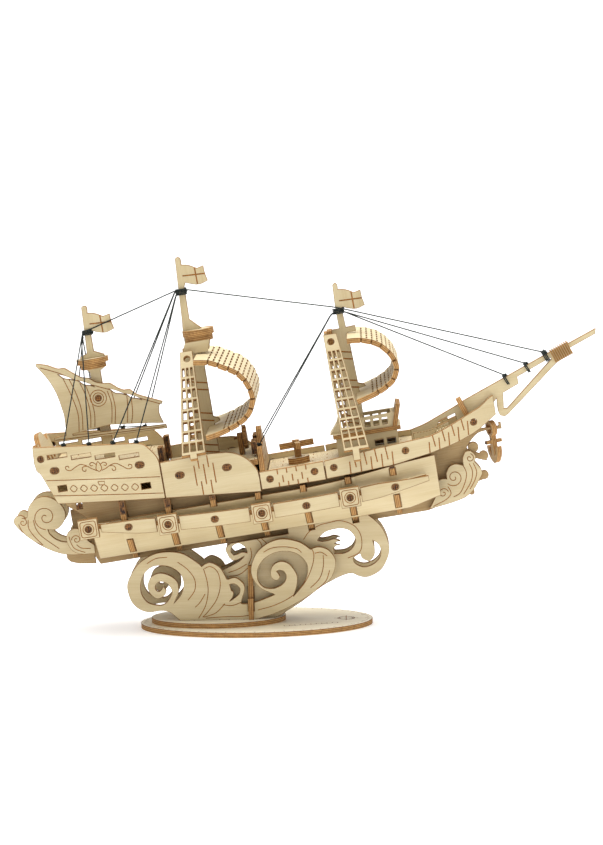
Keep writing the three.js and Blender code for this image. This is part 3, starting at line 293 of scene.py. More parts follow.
# ---- Rigging -------------------------------------------------------------------------------------
BESIDE = PLY / 2 + GAP + THREAD / 2
BEND = 1.7  # how tightly a thread turns round a corner
TURN_STEPS = 14
TURN_WOBBLE = 0.06
KNOT_STEPS = 48
KNOT_SIZE = 0.75
BOWSPRIT_FROM = 100
THREADS = {
    "stay_line": [(-64.6, -BESIDE, 114.4), (-61, -BESIDE, 115), (-18, -BESIDE, 126.4), (-11.5, -BESIDE, 126),
                  (56.5, -BESIDE, 106.2), (62, -BESIDE, 104.2), (154.4, -BESIDE, 67.4)],
    "forestay_line": [(144.6, 0, 63.4), (62, -BESIDE, 102.8), (57.2, -BESIDE, 104.6), (56.8, 0, 104.8),
                      (57.2, BESIDE, 104.6), (62, BESIDE, 102.4), (133.6, 0, 59.4)],
    "mizzen_shroud_line": [(-81.3, -28.4, 64.1), (-66, -2.6, 112.6), (-65.8, 0, 113.4), (-66, 2.6, 112.6),
                           (-81.3, 28.4, 64.1), (-69, 29.4, 62.7), (-66.6, 3.4, 110.2), (-65.8, 0, 111.6),
                           (-66.6, -3.4, 110.2), (-69, -29.4, 62.7)],
    "main_shroud_line": [(-57.5, -30.1, 61.5), (-18.2, -2.6, 125.6), (-16.9, 0, 126.6), (-18.2, 2.6, 125.6),
                         (-57.5, 30.1, 61.5), (-46.3, 30.5, 60.2), (-18, 2.6, 123.6), (-17.1, 0, 124.6),
                         (-18, -2.6, 123.6), (-46.3, -30.5, 60.2)],
    "fore_shroud_line": [(BULKHEAD_X, -16, 47.5), (54.6, -2.2, 102), (56.8, 0, 103.6), (54.6, 2.2, 102),
                         (BULKHEAD_X, 16, 47.5)],
}


def rounded_route(points):
    """The route with each corner turned as a small arc."""
    route = [points[0]]
    for before, corner, after in zip(points, points[1:], points[2:]):
        inward, outward = before - corner, after - corner
        angle = inward.angle(outward)
        reach = min(BEND / math.tan(angle / 2), 0.45 * inward.length, 0.45 * outward.length)
        start, end = corner + reach * inward.normalized(), corner + reach * outward.normalized()
        for t in (0, 1 / 3, 2 / 3, 1):
            route.append((1 - t) ** 2 * start + 2 * t * (1 - t) * corner + t**2 * end)
    return route + [points[-1]]


def thread_curve(name, points):
    """A thread through points in metres."""
    curve = bpy.data.curves.new(name, "CURVE")
    curve.dimensions = "3D"
    curve.bevel_depth = THREAD * MM / 2
    curve.bevel_resolution = 2
    curve.use_fill_caps = True
    spline = curve.splines.new("POLY")
    spline.points.add(len(points) - 1)
    for slot, point in zip(spline.points, points):
        slot.co = (*point, 1)
    curve.materials.append(TWINE)
    piece = bpy.data.objects.new(name, curve)
    bpy.context.scene.collection.objects.link(piece)
    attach(piece, ROOT)
    return piece


def wound(name, centre, axis, radius, turns, rise):
    """Turns of thread wound round an axis, in the ship's millimetres."""
    axis = Vector(axis).normalized()
    side = axis.orthogonal().normalized()
    other = axis.cross(side)
    points = []
    steps = turns * TURN_STEPS
    for i in range(steps + 1):
        angle = 2 * math.pi * i / TURN_STEPS
        reach = radius * (1 + TURN_WOBBLE * math.sin(2.3 * angle + len(name)))
        along = rise * (i / steps - 0.5)
        points.append(SHIP @ (Vector(centre) + axis * along
                              + reach * (math.cos(angle) * side + math.sin(angle) * other)))
    return thread_curve(name, points)


def knot(name, centre):
    """A small round knot: a few turns each way."""
    centre = Vector(centre)
    points = []
    for i in range(KNOT_STEPS + 1):
        t = 2 * math.pi * i / KNOT_STEPS
        swell = 1 + 0.45 * math.cos(3 * t)
        spot = Vector((math.sin(2 * t) * swell, math.cos(2 * t) * swell, 0.8 * math.sin(3 * t)))
        points.append(SHIP @ (centre + KNOT_SIZE * spot))
    return thread_curve(name, points)


def numbered(label, places):
    return {label % i: place for i, place in enumerate(places)}


def rig():
    windings = {  # middle, radius, turns and height
        "mizzen_turns": ((-63.4, 0, 113.4), 2.6, 4, 2.6),
        "main_turns": ((-15, 0, 125.4), 2.75, 5, 3.2),
        "fore_turns": ((58.9, 0, 103.6), 2.7, 4, 2.8),
        "bowsprit_turns": ((154.6, 0, 65.6), 3.0, 3, 2.2),
        "forestay_turns_1": ((144.8, 0, 61.3), 2.5, 2, 1.4),
        "forestay_turns_2": ((133.8, 0, 57.2), 2.7, 2, 1.4),
    }
    up_mast, along_bowsprit = (0.05, 0, 1), (1, 0, 0.36)
    winds = {
        name: wound(name, spot, up_mast if spot[0] < BOWSPRIT_FROM else along_bowsprit, size, turns, rise)
        for name, (spot, size, turns, rise) in windings.items()
    }
    tied_at = {  # the knots of each thread, at points of its route, and the windings that belong to it
        "stay_line": ({"stay_knot": -1}, ["bowsprit_turns"]),
        "forestay_line": ({"forestay_knot_1": 0, "forestay_knot_2": -1},
                          ["fore_turns", "forestay_turns_1", "forestay_turns_2"]),
        "mizzen_shroud_line": (numbered("mizzen_knot_%d", (0, 4, 5, 9)), ["mizzen_turns"]),
        "main_shroud_line": (numbered("main_knot_%d", (0, 4, 5, 9)), ["main_turns"]),
        "fore_shroud_line": (numbered("fore_knot_%d", (0, 4)), []),
    }
    for name, points in THREADS.items():
        route = [SHIP @ p for p in rounded_route([Vector(p) for p in points])]
        length = sum((b - a).length for a, b in zip(route, route[1:]))
        line = thread_curve(name + "_thread", route)
        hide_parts(name)
        knots, turns = tied_at[name]
        tied = [knot(label, points[k]) for label, k in knots.items()] + [winds[w] for w in turns]
        tuple(route[0])


rig()


# ---- Flat work -----------------------------------------------------------------------------------
def triangles_of(node, to_mm):
    """The node's triangles in its own millimetres, each with its unit normal."""
    mesh = NODES[node].data
    mesh.calc_loop_triangles()
    points = [to_mm @ v.co for v in mesh.vertices]
    found = []
    for triangle in mesh.loop_triangles:
        a, b, c = (points[i] for i in triangle.vertices)
        normal = (b - a).cross(c - a)
        if normal.length > 1e-6:
            found.append(((a, b, c), normal.normalized(), normal.length / 2))
    return found


def outlines(chosen, flat):
    """Closed loops round the chosen triangles as flat(point) lays them out."""
    edges = set()
    for points, _, _ in chosen:
        keys = [tuple(round(c, 2) for c in flat(p)) for p in points]
        (ax, ay), (bx, by), (cx, cy) = keys
        turn = (bx - ax) * (cy - ay) - (by - ay) * (cx - ax)
        if turn == 0:
            continue
        if turn < 0:
            keys.reverse()
        for a, b in zip(keys, keys[1:] + keys[:1]):
            if (b, a) in edges:
                edges.remove((b, a))
            else:
                edges.add((a, b))
    onward = {}
    for a, b in sorted(edges):
        onward.setdefault(a, []).append(b)
    loops = []
    while onward:
        start = next(iter(onward))
        loop = [start]
        here = start
        while here in onward:
            after = onward[here].pop()
            if not onward[here]:
                del onward[here]
            if after == start:
                break
            loop.append(after)
            here = after
        if len(loop) > 2:
            loops.append(straightened(loop))
    return [loop for loop in loops if len(loop) > 2]


def straightened(loop):
    """The loop without points that lie on a straight run."""
    kept = []
    count = len(loop)
    for i, p in enumerate(loop):
        a, b = loop[i - 1], loop[(i + 1) % count]
        turn = abs((p[0] - a[0]) * (b[1] - p[1]) - (p[1] - a[1]) * (b[0] - p[0]))
        if turn > 0.004 * (math.dist(a, p) + math.dist(p, b)):
            kept.append(p)
    return kept


SOFT_TURN = math.radians(40)
LONG_RUN = 14.0


def softened(loop):
    """Rounds the stretches of a loop that turn gently and leaves its corners sharp."""
    count = len(loop)
    points = [Vector(p) for p in loop]
    heading = [points[(i + 1) % count] - points[i] for i in range(count)]
    soft = []
    for i in range(count):
        before, after = heading[i - 1], heading[i]
        gentle = before.length > 1e-6 and after.length > 1e-6 and before.angle(after) < SOFT_TURN
        soft.append(gentle)
    ring = []
    for i in range(count):
        a, b = points[i], points[(i + 1) % count]
        ring.append(a)
        run = heading[i].length
        if run < 0.7 or run > LONG_RUN or not (soft[i] or soft[(i + 1) % count]):
            continue
        straight = heading[i] / run
        leave = arrive = straight
        if soft[i]:
            leave = (heading[i - 1].normalized() + heading[i].normalized()).normalized()
        if soft[(i + 1) % count]:
            arrive = (straight + heading[(i + 1) % count].normalized()).normalized()
        for t in (1 / 3, 2 / 3):
            h1, h2 = 2 * t**3 - 3 * t**2 + 1, t**3 - 2 * t**2 + t
            h3, h4 = 3 * t**2 - 2 * t**3, t**3 - t**2
            ring.append(h1 * a + h2 * run * leave + h3 * b + h4 * run * arrive)
    return ring


def offset(ring, distance):
    """The ring moved to its left, which is into the wood."""
    count = len(ring)
    moved = []
    for i in range(count):
        before = (ring[i] - ring[i - 1]).normalized()
        after = (ring[(i + 1) % count] - ring[i]).normalized()
        middle = before + after
        if middle.length < 0.2:
            continue
        middle.normalize()
        stretch = min(2.5, 1 / max(0.3, before.dot(middle)))
        moved.append(ring[i] + distance * stretch * Vector((-middle.y, middle.x)))
    return moved


def smooth_line(points, pieces=5):
    """A round line through the points."""
    spots = [Vector(p) for p in points]
    count = len(spots)
    if count < 3:
        return spots
    line = []
    for i in range(count - 1):
        a, b = spots[i], spots[i + 1]
        before = spots[i - 1] if i > 0 else a
        after = spots[i + 2] if i + 2 < count else b
        for k in range(pieces):
            t = k / pieces
            line.append(0.5 * (2 * a + t * (b - before) + t * t * (2 * before - 5 * a + 4 * b - after)
                               + t**3 * (3 * a - before - 3 * b + after)))
    return line + [spots[-1]]


def ribbon(line, width):
    """A closed strip of that width along a line."""
    sides = ([], [])
    for i, p in enumerate(line):
        ahead = (line[min(i + 1, len(line) - 1)] - line[max(i - 1, 0)]).normalized()
        across = Vector((-ahead.y, ahead.x)) * width / 2
        sides[0].append(p + across)
        sides[1].append(p - across)
    return sides[0] + sides[1][::-1]


def circle(x, z, radius, count=20):
    angles = [2 * math.pi * i / count for i in range(count + 1)]
    return [Vector((x + radius * math.cos(angle), z + radius * math.sin(angle))) for angle in angles]


def bore(x, z, radius, count):
    """A round hole, clockwise."""
    return [tuple(p) for p in reversed(circle(x, z, radius, count)[:-1])]


def spiral(x, z, start, end, turns, begin=0.0, hand=1):
    """A line winding out from start radius to end radius."""
    steps = int(turns * 18)
    line = []
    for i in range(steps + 1):
        t = i / steps
        radius = start + (end - start) * t
        angle = begin + hand * 2 * math.pi * turns * t
        line.append(Vector((x + radius * math.cos(angle), z + radius * math.sin(angle))))
    return line


def inside(points, loops):
    """Even-odd test of many points against loops."""
    crossings = np.zeros(len(points), dtype=int)
    for loop in loops:
        ring = np.array([tuple(p) for p in loop])
        after = np.roll(ring, -1, axis=0)
        for (x0, y0), (x1, y1) in zip(ring, after):
            if y0 == y1:
                continue
            spans = (y0 > points[:, 1]) != (y1 > points[:, 1])
            reach = x0 + (points[:, 1] - y0) * (x1 - x0) / (y1 - y0)
            crossings += spans & (points[:, 0] < reach)
    return crossings % 2 == 1


FACE, CUT, SCORED, SINGED = range(4)  # material slots of every sheet
EDGE_BREADTH = 3.3  # a flat region narrower than this is a cut edge


def build_plate(name, loops, place, scores=(), stations=(), upright=False, shaded=False, thick=PLY,
                body=ROOT, width=SCORE_WIDTH, slits=(), end_grain=False, face=None):
    """A sheet cut to its loops: place(u, v, w) puts a point at depth w behind the front face, in metres.

    Scores are cut part of the way in and slits right through. An end-grain piece shows burnt plies all over.
    """
    rings = [softened(loop) for loop in loops]
    insets = [offset(ring, RIM) for ring in rings]
    strips = [ribbon(line, width) for line in scores if len(line) > 1]
    points, edges = [], []

    def constrain(ring, shut=True):
        first = len(points)
        points.extend(ring)
        edges.extend((first + i, first + i + 1) for i in range(len(ring) - 1))
        if shut:
            edges.append((first + len(ring) - 1, first))

    for ring in rings + insets + strips + list(slits):
        constrain(ring)
    low = min(p.y for ring in rings for p in ring) - 1
    high = max(p.y for ring in rings for p in ring) + 1
    for u in stations:
        constrain([Vector((u, low)), Vector((u, high))], shut=False)
    flat, _, faces, _, _, _ = delaunay_2d_cdt(points, edges, [], 0, 1e-5, False)
    spots = np.array([tuple(p) for p in flat])
    corners = np.array([f for f in faces if len(f) == 3])
    middle = spots[corners].mean(axis=1)
    kept = inside(middle, rings)
    for slit in slits:
        kept &= ~inside(middle, [slit])
    corners, middle = corners[kept], middle[kept]
    deep = np.zeros(len(corners), dtype=bool)
    for strip in strips:
        deep |= inside(middle, [strip])
    singed = ~inside(middle, insets) & ~deep

    keys, verts, polygons, kinds, layout = {}, [], [], [], []

    def corner(i, w):
        if (i, w) not in keys:
            keys[i, w] = len(verts)
            verts.append(place(float(spots[i][0]), float(spots[i][1]), w))
        return keys[i, w]

    def sheet_uv(i):
        u, v = spots[i]
        return (v, u) if upright else (u, v)

    owner = {}
    for f, triangle in enumerate(corners):
        a, b, c = (int(i) for i in triangle)
        (ax, ay), (bx, by), (cx, cy) = spots[a], spots[b], spots[c]
        if (bx - ax) * (cy - ay) - (by - ay) * (cx - ax) < 0:
            b, c = c, b
        depth = SCORE_DEPTH if deep[f] else 0.0
        polygons.append([corner(i, depth) for i in (a, b, c)])
        kinds.append(SCORED if deep[f] else SINGED if singed[f] else FACE)
        layout.extend(sheet_uv(i) for i in (a, b, c))
        polygons.append([corner(i, thick) for i in (c, b, a)])
        kinds.append(SINGED if singed[f] else FACE)
        layout.extend(sheet_uv(i) for i in (c, b, a))
        for edge in ((a, b), (b, c), (c, a)):
            owner[edge] = f
    for (a, b), f in owner.items():
        other = owner.get((b, a))
        along = [0.8 * (spots[i][0] + spots[i][1]) for i in (a, b)]
        if other is None:
            top = SCORE_DEPTH if deep[f] else 0.0
            polygons.append([corner(b, top), corner(a, top), corner(a, thick), corner(b, thick)])
            kinds.append(CUT)
            layout.extend(((along[1], 0), (along[0], 0), (along[0], PLY), (along[1], PLY)))
        elif deep[f] and not deep[other]:
            polygons.append([corner(a, SCORE_DEPTH), corner(a, 0.0), corner(b, 0.0), corner(b, SCORE_DEPTH)])
            kinds.append(SCORED)
            wall = 2 * SCORE_DEPTH
            layout.extend(((along[0], wall), (along[0], 0), (along[1], 0), (along[1], wall)))
    face = face or (END_GRAIN if end_grain else SHADED if shaded else BIRCH)
    return mesh_piece(name, verts, polygons, kinds, layout, face, body)


def mesh_piece(name, verts, polygons, kinds, layout, face, body):
    mesh = bpy.data.meshes.new(name)
    mesh.from_pydata([tuple(v) for v in verts], [], polygons)
    for material in (face, EDGE, SCORE, RIM_WOOD):
        mesh.materials.append(material)
    mesh.polygons.foreach_set("material_index", kinds)
    uv = mesh.uv_layers.new(name="sheet")
    uv.data.foreach_set("uv", [c for pair in layout for c in pair])
    tidy = bmesh.new()
    tidy.from_mesh(mesh)
    bmesh.ops.recalc_face_normals(tidy, faces=tidy.faces)
    tidy.to_mesh(mesh)
    tidy.free()
    mesh.shade_smooth()
    mesh.set_sharp_from_angle(angle=math.radians(32))
    piece = bpy.data.objects.new(name, mesh)
    bpy.context.scene.collection.objects.link(piece)
    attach(piece, body)
    {SHADED: "shaded_birch", END_GRAIN: "charred_edge"}.get(face, "birch_face")
    return piece


def flat_frame(node, home, front):
    """The node's broadest face that looks towards front: its triangles, normal and place along it."""
    faces = triangles_of(node, home.inverted())
    front = Vector(front)
    sums = {}
    for points, normal, area in faces:
        if normal.dot(front) > 0.5:
            reach = normal.dot(points[0])
            key = (round(normal.x, 2), round(normal.y, 2), round(normal.z, 2), round(reach, 1))
            total, _ = sums.get(key, (0, None))
            sums[key] = (total + area, (normal, reach))
    normal, reach = max(sums.values(), key=lambda item: item[0])[1]
    chosen = [face for face in faces
              if face[1].dot(normal) > 0.999 and all(abs(p.dot(normal) - reach) < 0.08 for p in face[0])]
    return chosen, normal, reach


def in_plane(normal):
    """Axes in the plane that follow x and z, or the pair that lies flattest."""
    if abs(normal.y) > 0.6:
        first, second = Vector((1, 0, 0)), Vector((0, 0, 1))
    elif abs(normal.x) > 0.6:
        first, second = Vector((0, 1, 0)), Vector((0, 0, 1))
    else:
        first, second = Vector((1, 0, 0)), Vector((0, 1, 0))
    u = (first - first.dot(normal) * normal).normalized()
    v = second - second.dot(normal) * normal
    v = (v - v.dot(u) * u).normalized()
    return u, v


def flat_plate(node, home=SHIP, front=(0, -1, 0), scores=(), body=ROOT, name=None, **look):
    """A flat sheet whose outline is that of the node's broadest face."""
    chosen, normal, reach = flat_frame(node, home, front)
    u, v = in_plane(normal)
    loops = outlines(chosen, lambda p: (p.dot(u), p.dot(v)))

    def place(a, b, w):
        return home @ (a * u + b * v + (reach - w) * normal)

    piece = build_plate(name or node + "_cut", loops, place, scores, body=body, **look)
    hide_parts(node)


def dressed(node, body=ROOT, shaded=False, stacked=0.0):
    """The node's own shape as plywood: narrow flat regions are cut edges, broad ones are faces.

    The top of a stacked piece is made of level sheets, so its upright sides are all cut edges."""
    mesh = NODES[node].data
    work = bmesh.new()
    work.from_mesh(mesh)
    bmesh.ops.remove_doubles(work, verts=work.verts, dist=2e-6)
    to_mm = SHIP.inverted()
    for vert in work.verts:
        vert.co = to_mm @ vert.co
    bmesh.ops.dissolve_limit(work, angle_limit=math.radians(2), verts=work.verts, edges=work.edges)
    bmesh.ops.recalc_face_normals(work, faces=work.faces)
    bevel = bmesh.ops.bevel(work, geom=[e for e in work.edges if e.is_manifold and e.calc_face_angle() > 0.6],
                            offset=0.12, segments=1, affect="EDGES", clamp_overlap=True)
    singed = set(bevel["faces"])
    crown = max(vert.co.z for vert in work.verts)
    uv = work.loops.layers.uv.new("sheet")
    for face in work.faces:
        normal = face.normal
        u, v = in_plane(normal)
        centre = face.calc_center_median()
        edge = max(face.edges, key=lambda e: e.calc_length())
        long_way = (edge.verts[1].co - edge.verts[0].co).normalized()
        short_way = normal.cross(long_way)
        reach = [(loop.vert.co - centre).dot(short_way) for loop in face.loops]
        narrow = max(reach) - min(reach) < EDGE_BREADTH
        if abs(normal.z) < 0.5 and centre.z > crown - stacked:
            narrow, long_way, short_way = True, normal.cross(Vector((0, 0, 1))), Vector((0, 0, 1))
            centre, reach = Vector((0, 0, crown)), [0.0]
        face.material_index = SINGED if face in singed else CUT if narrow else FACE
        for loop in face.loops:
            p = loop.vert.co
            if narrow:
                loop[uv].uv = (p.dot(long_way), (p - centre).dot(short_way) - min(reach))
            else:
                loop[uv].uv = (p.dot(u), p.dot(v))
    for vert in work.verts:
        vert.co = SHIP @ vert.co
    made = bpy.data.meshes.new(node + "_dressed")
    work.to_mesh(made)
    work.free()
    for material in (SHADED if shaded else BIRCH, EDGE, SCORE, RIM_WOOD):
        made.materials.append(material)
    piece = bpy.data.objects.new(node + "_built", made)
    bpy.context.scene.collection.objects.link(piece)
    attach(piece, body)
    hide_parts(node)


# ---- Hull lines ----------------------------------------------------------------------------------
def half_beam(x):
    fore = max(0.0, x - 15) / 112
    aft = max(0.0, -30 - x) / 190
    return max(4.1, HALF_BEAM * (1 - fore**2.4 - aft**2))


def bilge(x, z):
    rise = min(1.0, max(0.0, (z - 4) / 21))
    return half_beam(x) * (0.36 + 0.62 * rise**0.8)


def topside(x, z=0.0):
    return bilge(x, 22.5) - PLY - 6 * GAP


def wale_line(x):
    return 16.9 + (0.00062 if x < 20 else 0.0004) * (x - 20) ** 2


def between(points, x):
    for (x0, z0), (x1, z1) in zip(points, points[1:]):
        if x <= x1:
            return z0 + (z1 - z0) * max(0.0, (x - x0) / (x1 - x0))
    return points[-1][1]


SHEER = [(-36, 36), (40.6, 36.2), (68, 37.7), (92.7, 38.2), (105.7, 42), (119, 46.7), (125.8, 51)]


def main_deck_top(x):
    return between(SHEER, x) - 2.8


def spread(start, end, count):
    return [start + (end - start) * i / count for i in range(count + 1)]


def oval(x, z, length, height, count=5):
    """A slot with round ends, anticlockwise."""
    half, radius = (length - height) / 2, height / 2
    ring = []
    for middle, start in ((x + half, -90), (x - half, 90)):
        for i in range(count + 1):
            angle = math.radians(start + 180 * i / count)
            ring.append((middle + radius * math.cos(angle), z + radius * math.sin(angle)))
    return ring


def extent(loop):
    across, up = [p[0] for p in loop], [p[1] for p in loop]
    return min(across), min(up), max(across), max(up)


PEG_HEIGHT = 3.2  # the peg holes' height, which tells them from windows and ports
PEG_PROUD = 0.15


def bent_plates(stem, breadth, scores=(), stations=(), **look):
    """Both sheets of a bent pair: breadth(x, z) is how far the outer face is from the centre line."""
    for word, side in SIDES:
        node = stem + "_" + word
        faces = triangles_of(node, SHIP.inverted())
        chosen = [face for face in faces if face[1].y * side > 0.3]
        loops = outlines(chosen, lambda p: (p.x, p.z))

        def place(u, v, w):
            return on_ship(u, side * (breadth(u, v) - w), v)

        pegs = []
        for i, loop in enumerate(loops):
            x0, z0, x1, z1 = extent(loop)
            if len(loop) == 4 and x1 - x0 < 5 and abs(z1 - z0 - PEG_HEIGHT) < 0.05:
                middle, length = ((x0 + x1) / 2, (z0 + z1) / 2), max(x1 - x0, PEG_HEIGHT + 0.1)
                loops[i] = oval(*middle, length, PEG_HEIGHT)[::-1]
                pegs.append((middle, length))
        piece = build_plate(node + "_sheet", loops, place, scores, stations, **look)
        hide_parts(node)
        for k, ((x, z), length) in enumerate(pegs):
            tab_end("%s_peg_%d" % (node, k + 1), x, z, length - 0.5, PEG_HEIGHT - 0.5,
                    lambda u, v, w: place(u, v, w - PEG_PROUD))


def tab_end(name, x, z, length, height, place, thick=0.9):
    """The burnt end of a tab showing in its hole, with the seam of its two halves scored across."""
    marks = [line((x + seam * length, z - height), (x + seam * length, z + height)) for seam in (-0.18, 0.18)]
    end = [oval(x, z, length, height)]
    return build_plate(name, end, place, marks, thick=thick, width=0.3, end_grain=True)


def line(*points):
    return [Vector(p) for p in points]


def build_hull():
    flat_plate("keel_plate", shaded=True)
    for i in range(1, 8):
        flat_plate("rib_%d" % i, front=(1, 0, 0), shaded=True)
    bent_plates("hull_side", bilge, [], spread(-74, 92, 26))
    bent_plates("topside", topside, [], spread(-84, 90, 18), shaded=True)
    for word, side in SIDES:
        tab_end("stern_peg_" + word, -79.5, 32.9, 2.7, 2.7,
                lambda u, v, w: on_ship(u, side * (topside(u) + 0.2 - w), v), thick=2.4)
    for i in range(7):
        x = -58.5 + 21.8 * i
        rib_edge("rib_bar_%d" % (i + 1), x, 26.7, panel_foot(x) - 0.35, topside(x) + 0.05, bilge(x, 25) + 0.6)


def panel_foot(x):
    """The lower edge of the bulwarks."""
    return between([(-94.5, 36.9), (-37, 31.2), (-36.8, 31.2), (9, 26.9), (9.3, 27.7), (40, 27.4),
                    (73.5, 28.3), (92.4, 30.2), (105.2, 32.4)], x)


def rib_edge(name, x, low, high, near, far):
    """The edge of a rib where it stands in front of the recessed topside, on both sides."""
    if high - low < 0.8:
        return
    for word, side in SIDES:
        half = 1.35
        outline = [(low, x - half), (high, x - half), (high, x + half), (low, x + half)]
        build_plate(name + "_" + word, [outline], lambda u, v, w: on_ship(v, side * (far - w), u), [],
                    thick=far - near, end_grain=True)


def stern_ornament():
    """Scored lines between the stern's pegs: a small upright bracket with leaf scrolls, and plain borders."""
    lines = [line((-92.4, 48.4), (-37.8, 41.8)), line((-90.4, 40.6), (-37.6, 33.8))]
    centre = (-66.2, 51.0)
    for hand in (-1, 1):
        def at(dx, dz):
            x = centre[0] + hand * dx
            return (x, centre[1] + dz - 0.125 * hand * dx)
        lines.append(smooth_line([at(1.2, -1.6), at(3.4, -0.6), at(5.4, 0.6), at(7.6, 0.2), at(7.9, -1.4),
                                  at(6.6, -1.8), at(6.2, -0.8)]))
        lines.append(smooth_line([at(5.6, 0.9), at(8.4, 1.6), at(11, 0.4), at(13.6, -1.2), at(15.6, -0.8),
                                  at(15.8, 0.6), at(14.6, 0.9), at(14.2, 0)]))
        lines.append(smooth_line([at(1, 1.4), at(2.6, 2.4), at(4, 1.8), at(3.6, 0.8), at(2.6, 1)]))
    x, z = centre
    leaf = [(x, z - 2.2), (x - 1.4, z - 0.6), (x, z + 2.8), (x + 1.4, z - 0.6), (x, z - 2.2)]
    lines.append(smooth_line(leaf))
    lines.append(line((x - 1.6, 44.2), (x + 1.6, 43.9), (x + 1.2, 42.2), (x - 1.2, 42.5), (x - 1.6, 44.2)))
    for k in range(7):
        x = -80 + 4.9 * k
        z = 40.9 - 0.128 * (x + 66)
        diamond = [(x - 1.7, z), (x, z + 1.5), (x + 1.7, z - 0.2), (x, z - 1.7), (x - 1.7, z)]
        lines.append(smooth_line(diamond))
    return lines


def upright_cuts(places, odd, even):
    """Upright lines at each place along the sheet, which take turns between two sets of heights."""
    return [line((x, a), (x, b)) for k, x in enumerate(places) for a, b in (odd if k % 2 else even)]


def comb_cuts(start, pitch, odd, even):
    """Nine leaning lines below the sheer that open at the top and stay shut in turn."""
    cuts = []
    for k in range(9):
        x = start + pitch * k
        top = between(SHEER, x)
        (lean, high, low) = odd if k % 2 else even
        cuts.append(line((x, top + high), (x + lean, top - low)))
    return cuts


def straight_side(x, z):
    return half_beam(x)


def build_bulwarks():
    bent_plates("stern_panel", straight_side, stern_ornament(), spread(-95, -39, 10))
    cuts = upright_cuts((-21, -18.7, -16.4, -14.1, -11.8), [(48.4, 42.6), (36.4, 29.8)], [(44.4, 34.6)])
    bent_plates("quarter_panel", straight_side, cuts, spread(-34, 6, 10), width=WIDE_SCORE)
    places = (17.9, 20.1, 22.4, 24.7, 27, 29.4, 31.7)
    cuts = upright_cuts(places, [(32.9, 29.5)], [(36.3, 33.7), (29.8, 27.2)])
    bent_plates("waist_panel", straight_side, cuts, spread(12, 38, 6), width=WIDE_SCORE)
    cuts = comb_cuts(52.4, 2.6, (0.5, 0.2, 6.4), (0.4, -10.6, 3))
    cuts += comb_cuts(91.4, 2.5, (0.7, 0.2, 5.8), (0.5, -9.4, 2.6))
    bent_plates("bow_panel", straight_side, cuts, spread(43, 124, 22), width=WIDE_SCORE)


PORTS = (-75.9, -37.7, 7.5, 50.3)
STRIPS = ((-70, -43.4), (-32.1, 1.6), (13.3, 44.8), (55.7, 89))


def rounded_square(x, z, half, corner):
    """A square line round a point, with round corners."""
    ring = []
    for sx, sz, first in ((1, 1, 0), (-1, 1, 90), (-1, -1, 180), (1, -1, 270)):
        for step in (0, 30, 60, 90):
            angle = math.radians(first + step)
            ring.append((x + sx * (half - corner) + corner * math.cos(angle),
                         z + sz * (half - corner) + corner * math.sin(angle)))
    return [Vector(p) for p in ring + ring[:1]]


def wale_outside(x):
    return half_beam(x) + WALE_OUT


def wale_strip(k, start, end, word, side):
    """One strip of the wale, bent to the hull, with the peg at its middle."""
    def height(x):
        return WALE_HALF * min(1.0, 0.5 + (x + 72) / 40, 0.35 + (89 - x) / 38)

    def place(u, v, w):
        return on_ship(u, side * (wale_outside(u) + PLY / 2 - w), v)

    loop = [(x, wale_line(x) - height(x)) for x in spread(start, end, 8)]
    loop += [(x, wale_line(x) + height(x)) for x in reversed(spread(start, end, 8))]
    middle = (start + end) / 2
    z = wale_line(middle)
    hole = oval(middle, z, 3.6, 3.1)[::-1]
    build_plate("wale_strip_%d_%s" % (k, word), [loop, hole], place, [], spread(start + 3, end - 3, 7))
    tab_end("wale_peg_%d_%s" % (k, word), middle, z, 3.2, 2.7,
            lambda u, v, w: place(u, v, w - PEG_PROUD), thick=2.2)


def gun_port(k, x, word, side):
    """A square frame on the wale with a ring and a peg in its middle."""
    z, half = wale_line(x), PORT_HALF
    frame_loop = [(x - half, z - half), (x + half, z - half), (x + half, z + half), (x - half, z + half)]
    scores = [rounded_square(x, z, 3.75, 1.2), circle(x, z, 2.6, 24)]
    y = wale_outside(x)
    build_plate("gun_port_%d_%s" % (k, word), [frame_loop, bore(x, z, 1.7, 16)],
                lambda u, v, w: on_ship(u, side * (y + PLY / 2 + 1.6 - w), v), scores, thick=PLY + 1.3)
    tab_end("port_peg_%d_%s" % (k, word), x, z, 3.05, 2.95,
            lambda u, v, w: on_ship(u, side * (y + PLY / 2 + 1.1 - w), v), thick=2.2)


def build_wales():
    for word, side in SIDES:
        shelf = [(x, wale_outside(x) + 0.4) for x in spread(-78, 88, 18)]
        shelf += [(x, bilge(x, wale_line(x) + 2) + 0.9) for x in reversed(spread(-78, 88, 18))]
        piece = build_plate("wale_shelf_" + word, [shelf],
                            lambda u, v, w: on_ship(u, side * v, wale_line(u) - 0.4 + PLY - w), [],
                            spread(-70, 80, 15))
        for k, (start, end) in enumerate(STRIPS):
            wale_strip(k + 1, start, end, word, side)
        for k, x in enumerate(PORTS):
            gun_port(k + 1, x, word, side)
        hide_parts("wale_" + word)


def level_deck(node, top, pick, scores, stations):
    faces = triangles_of(node, SHIP.inverted())
    chosen = [face for face in faces if face[1].z > 0.8 and pick(face[0][0])]
    loops = outlines(chosen, lambda p: (p.x, p.y))
    piece = build_plate(node + "_planks", loops, lambda u, v, w: on_ship(u, v, top(u) - w), scores, stations)
    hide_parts(node)


def planking(start, end, pitch=4.2):
    """Scored plank seams with staggered butts."""
    seams = [line((start, pitch * k), (end, pitch * k)) for k in range(-6, 7)]
    for k in range(-7, 7):
        x = start + 6 + (k % 3) * 7.5
        while x < end:
            seams.append(line((x, pitch * k), (x, pitch * (k + 1))))
            x += 22
    return seams


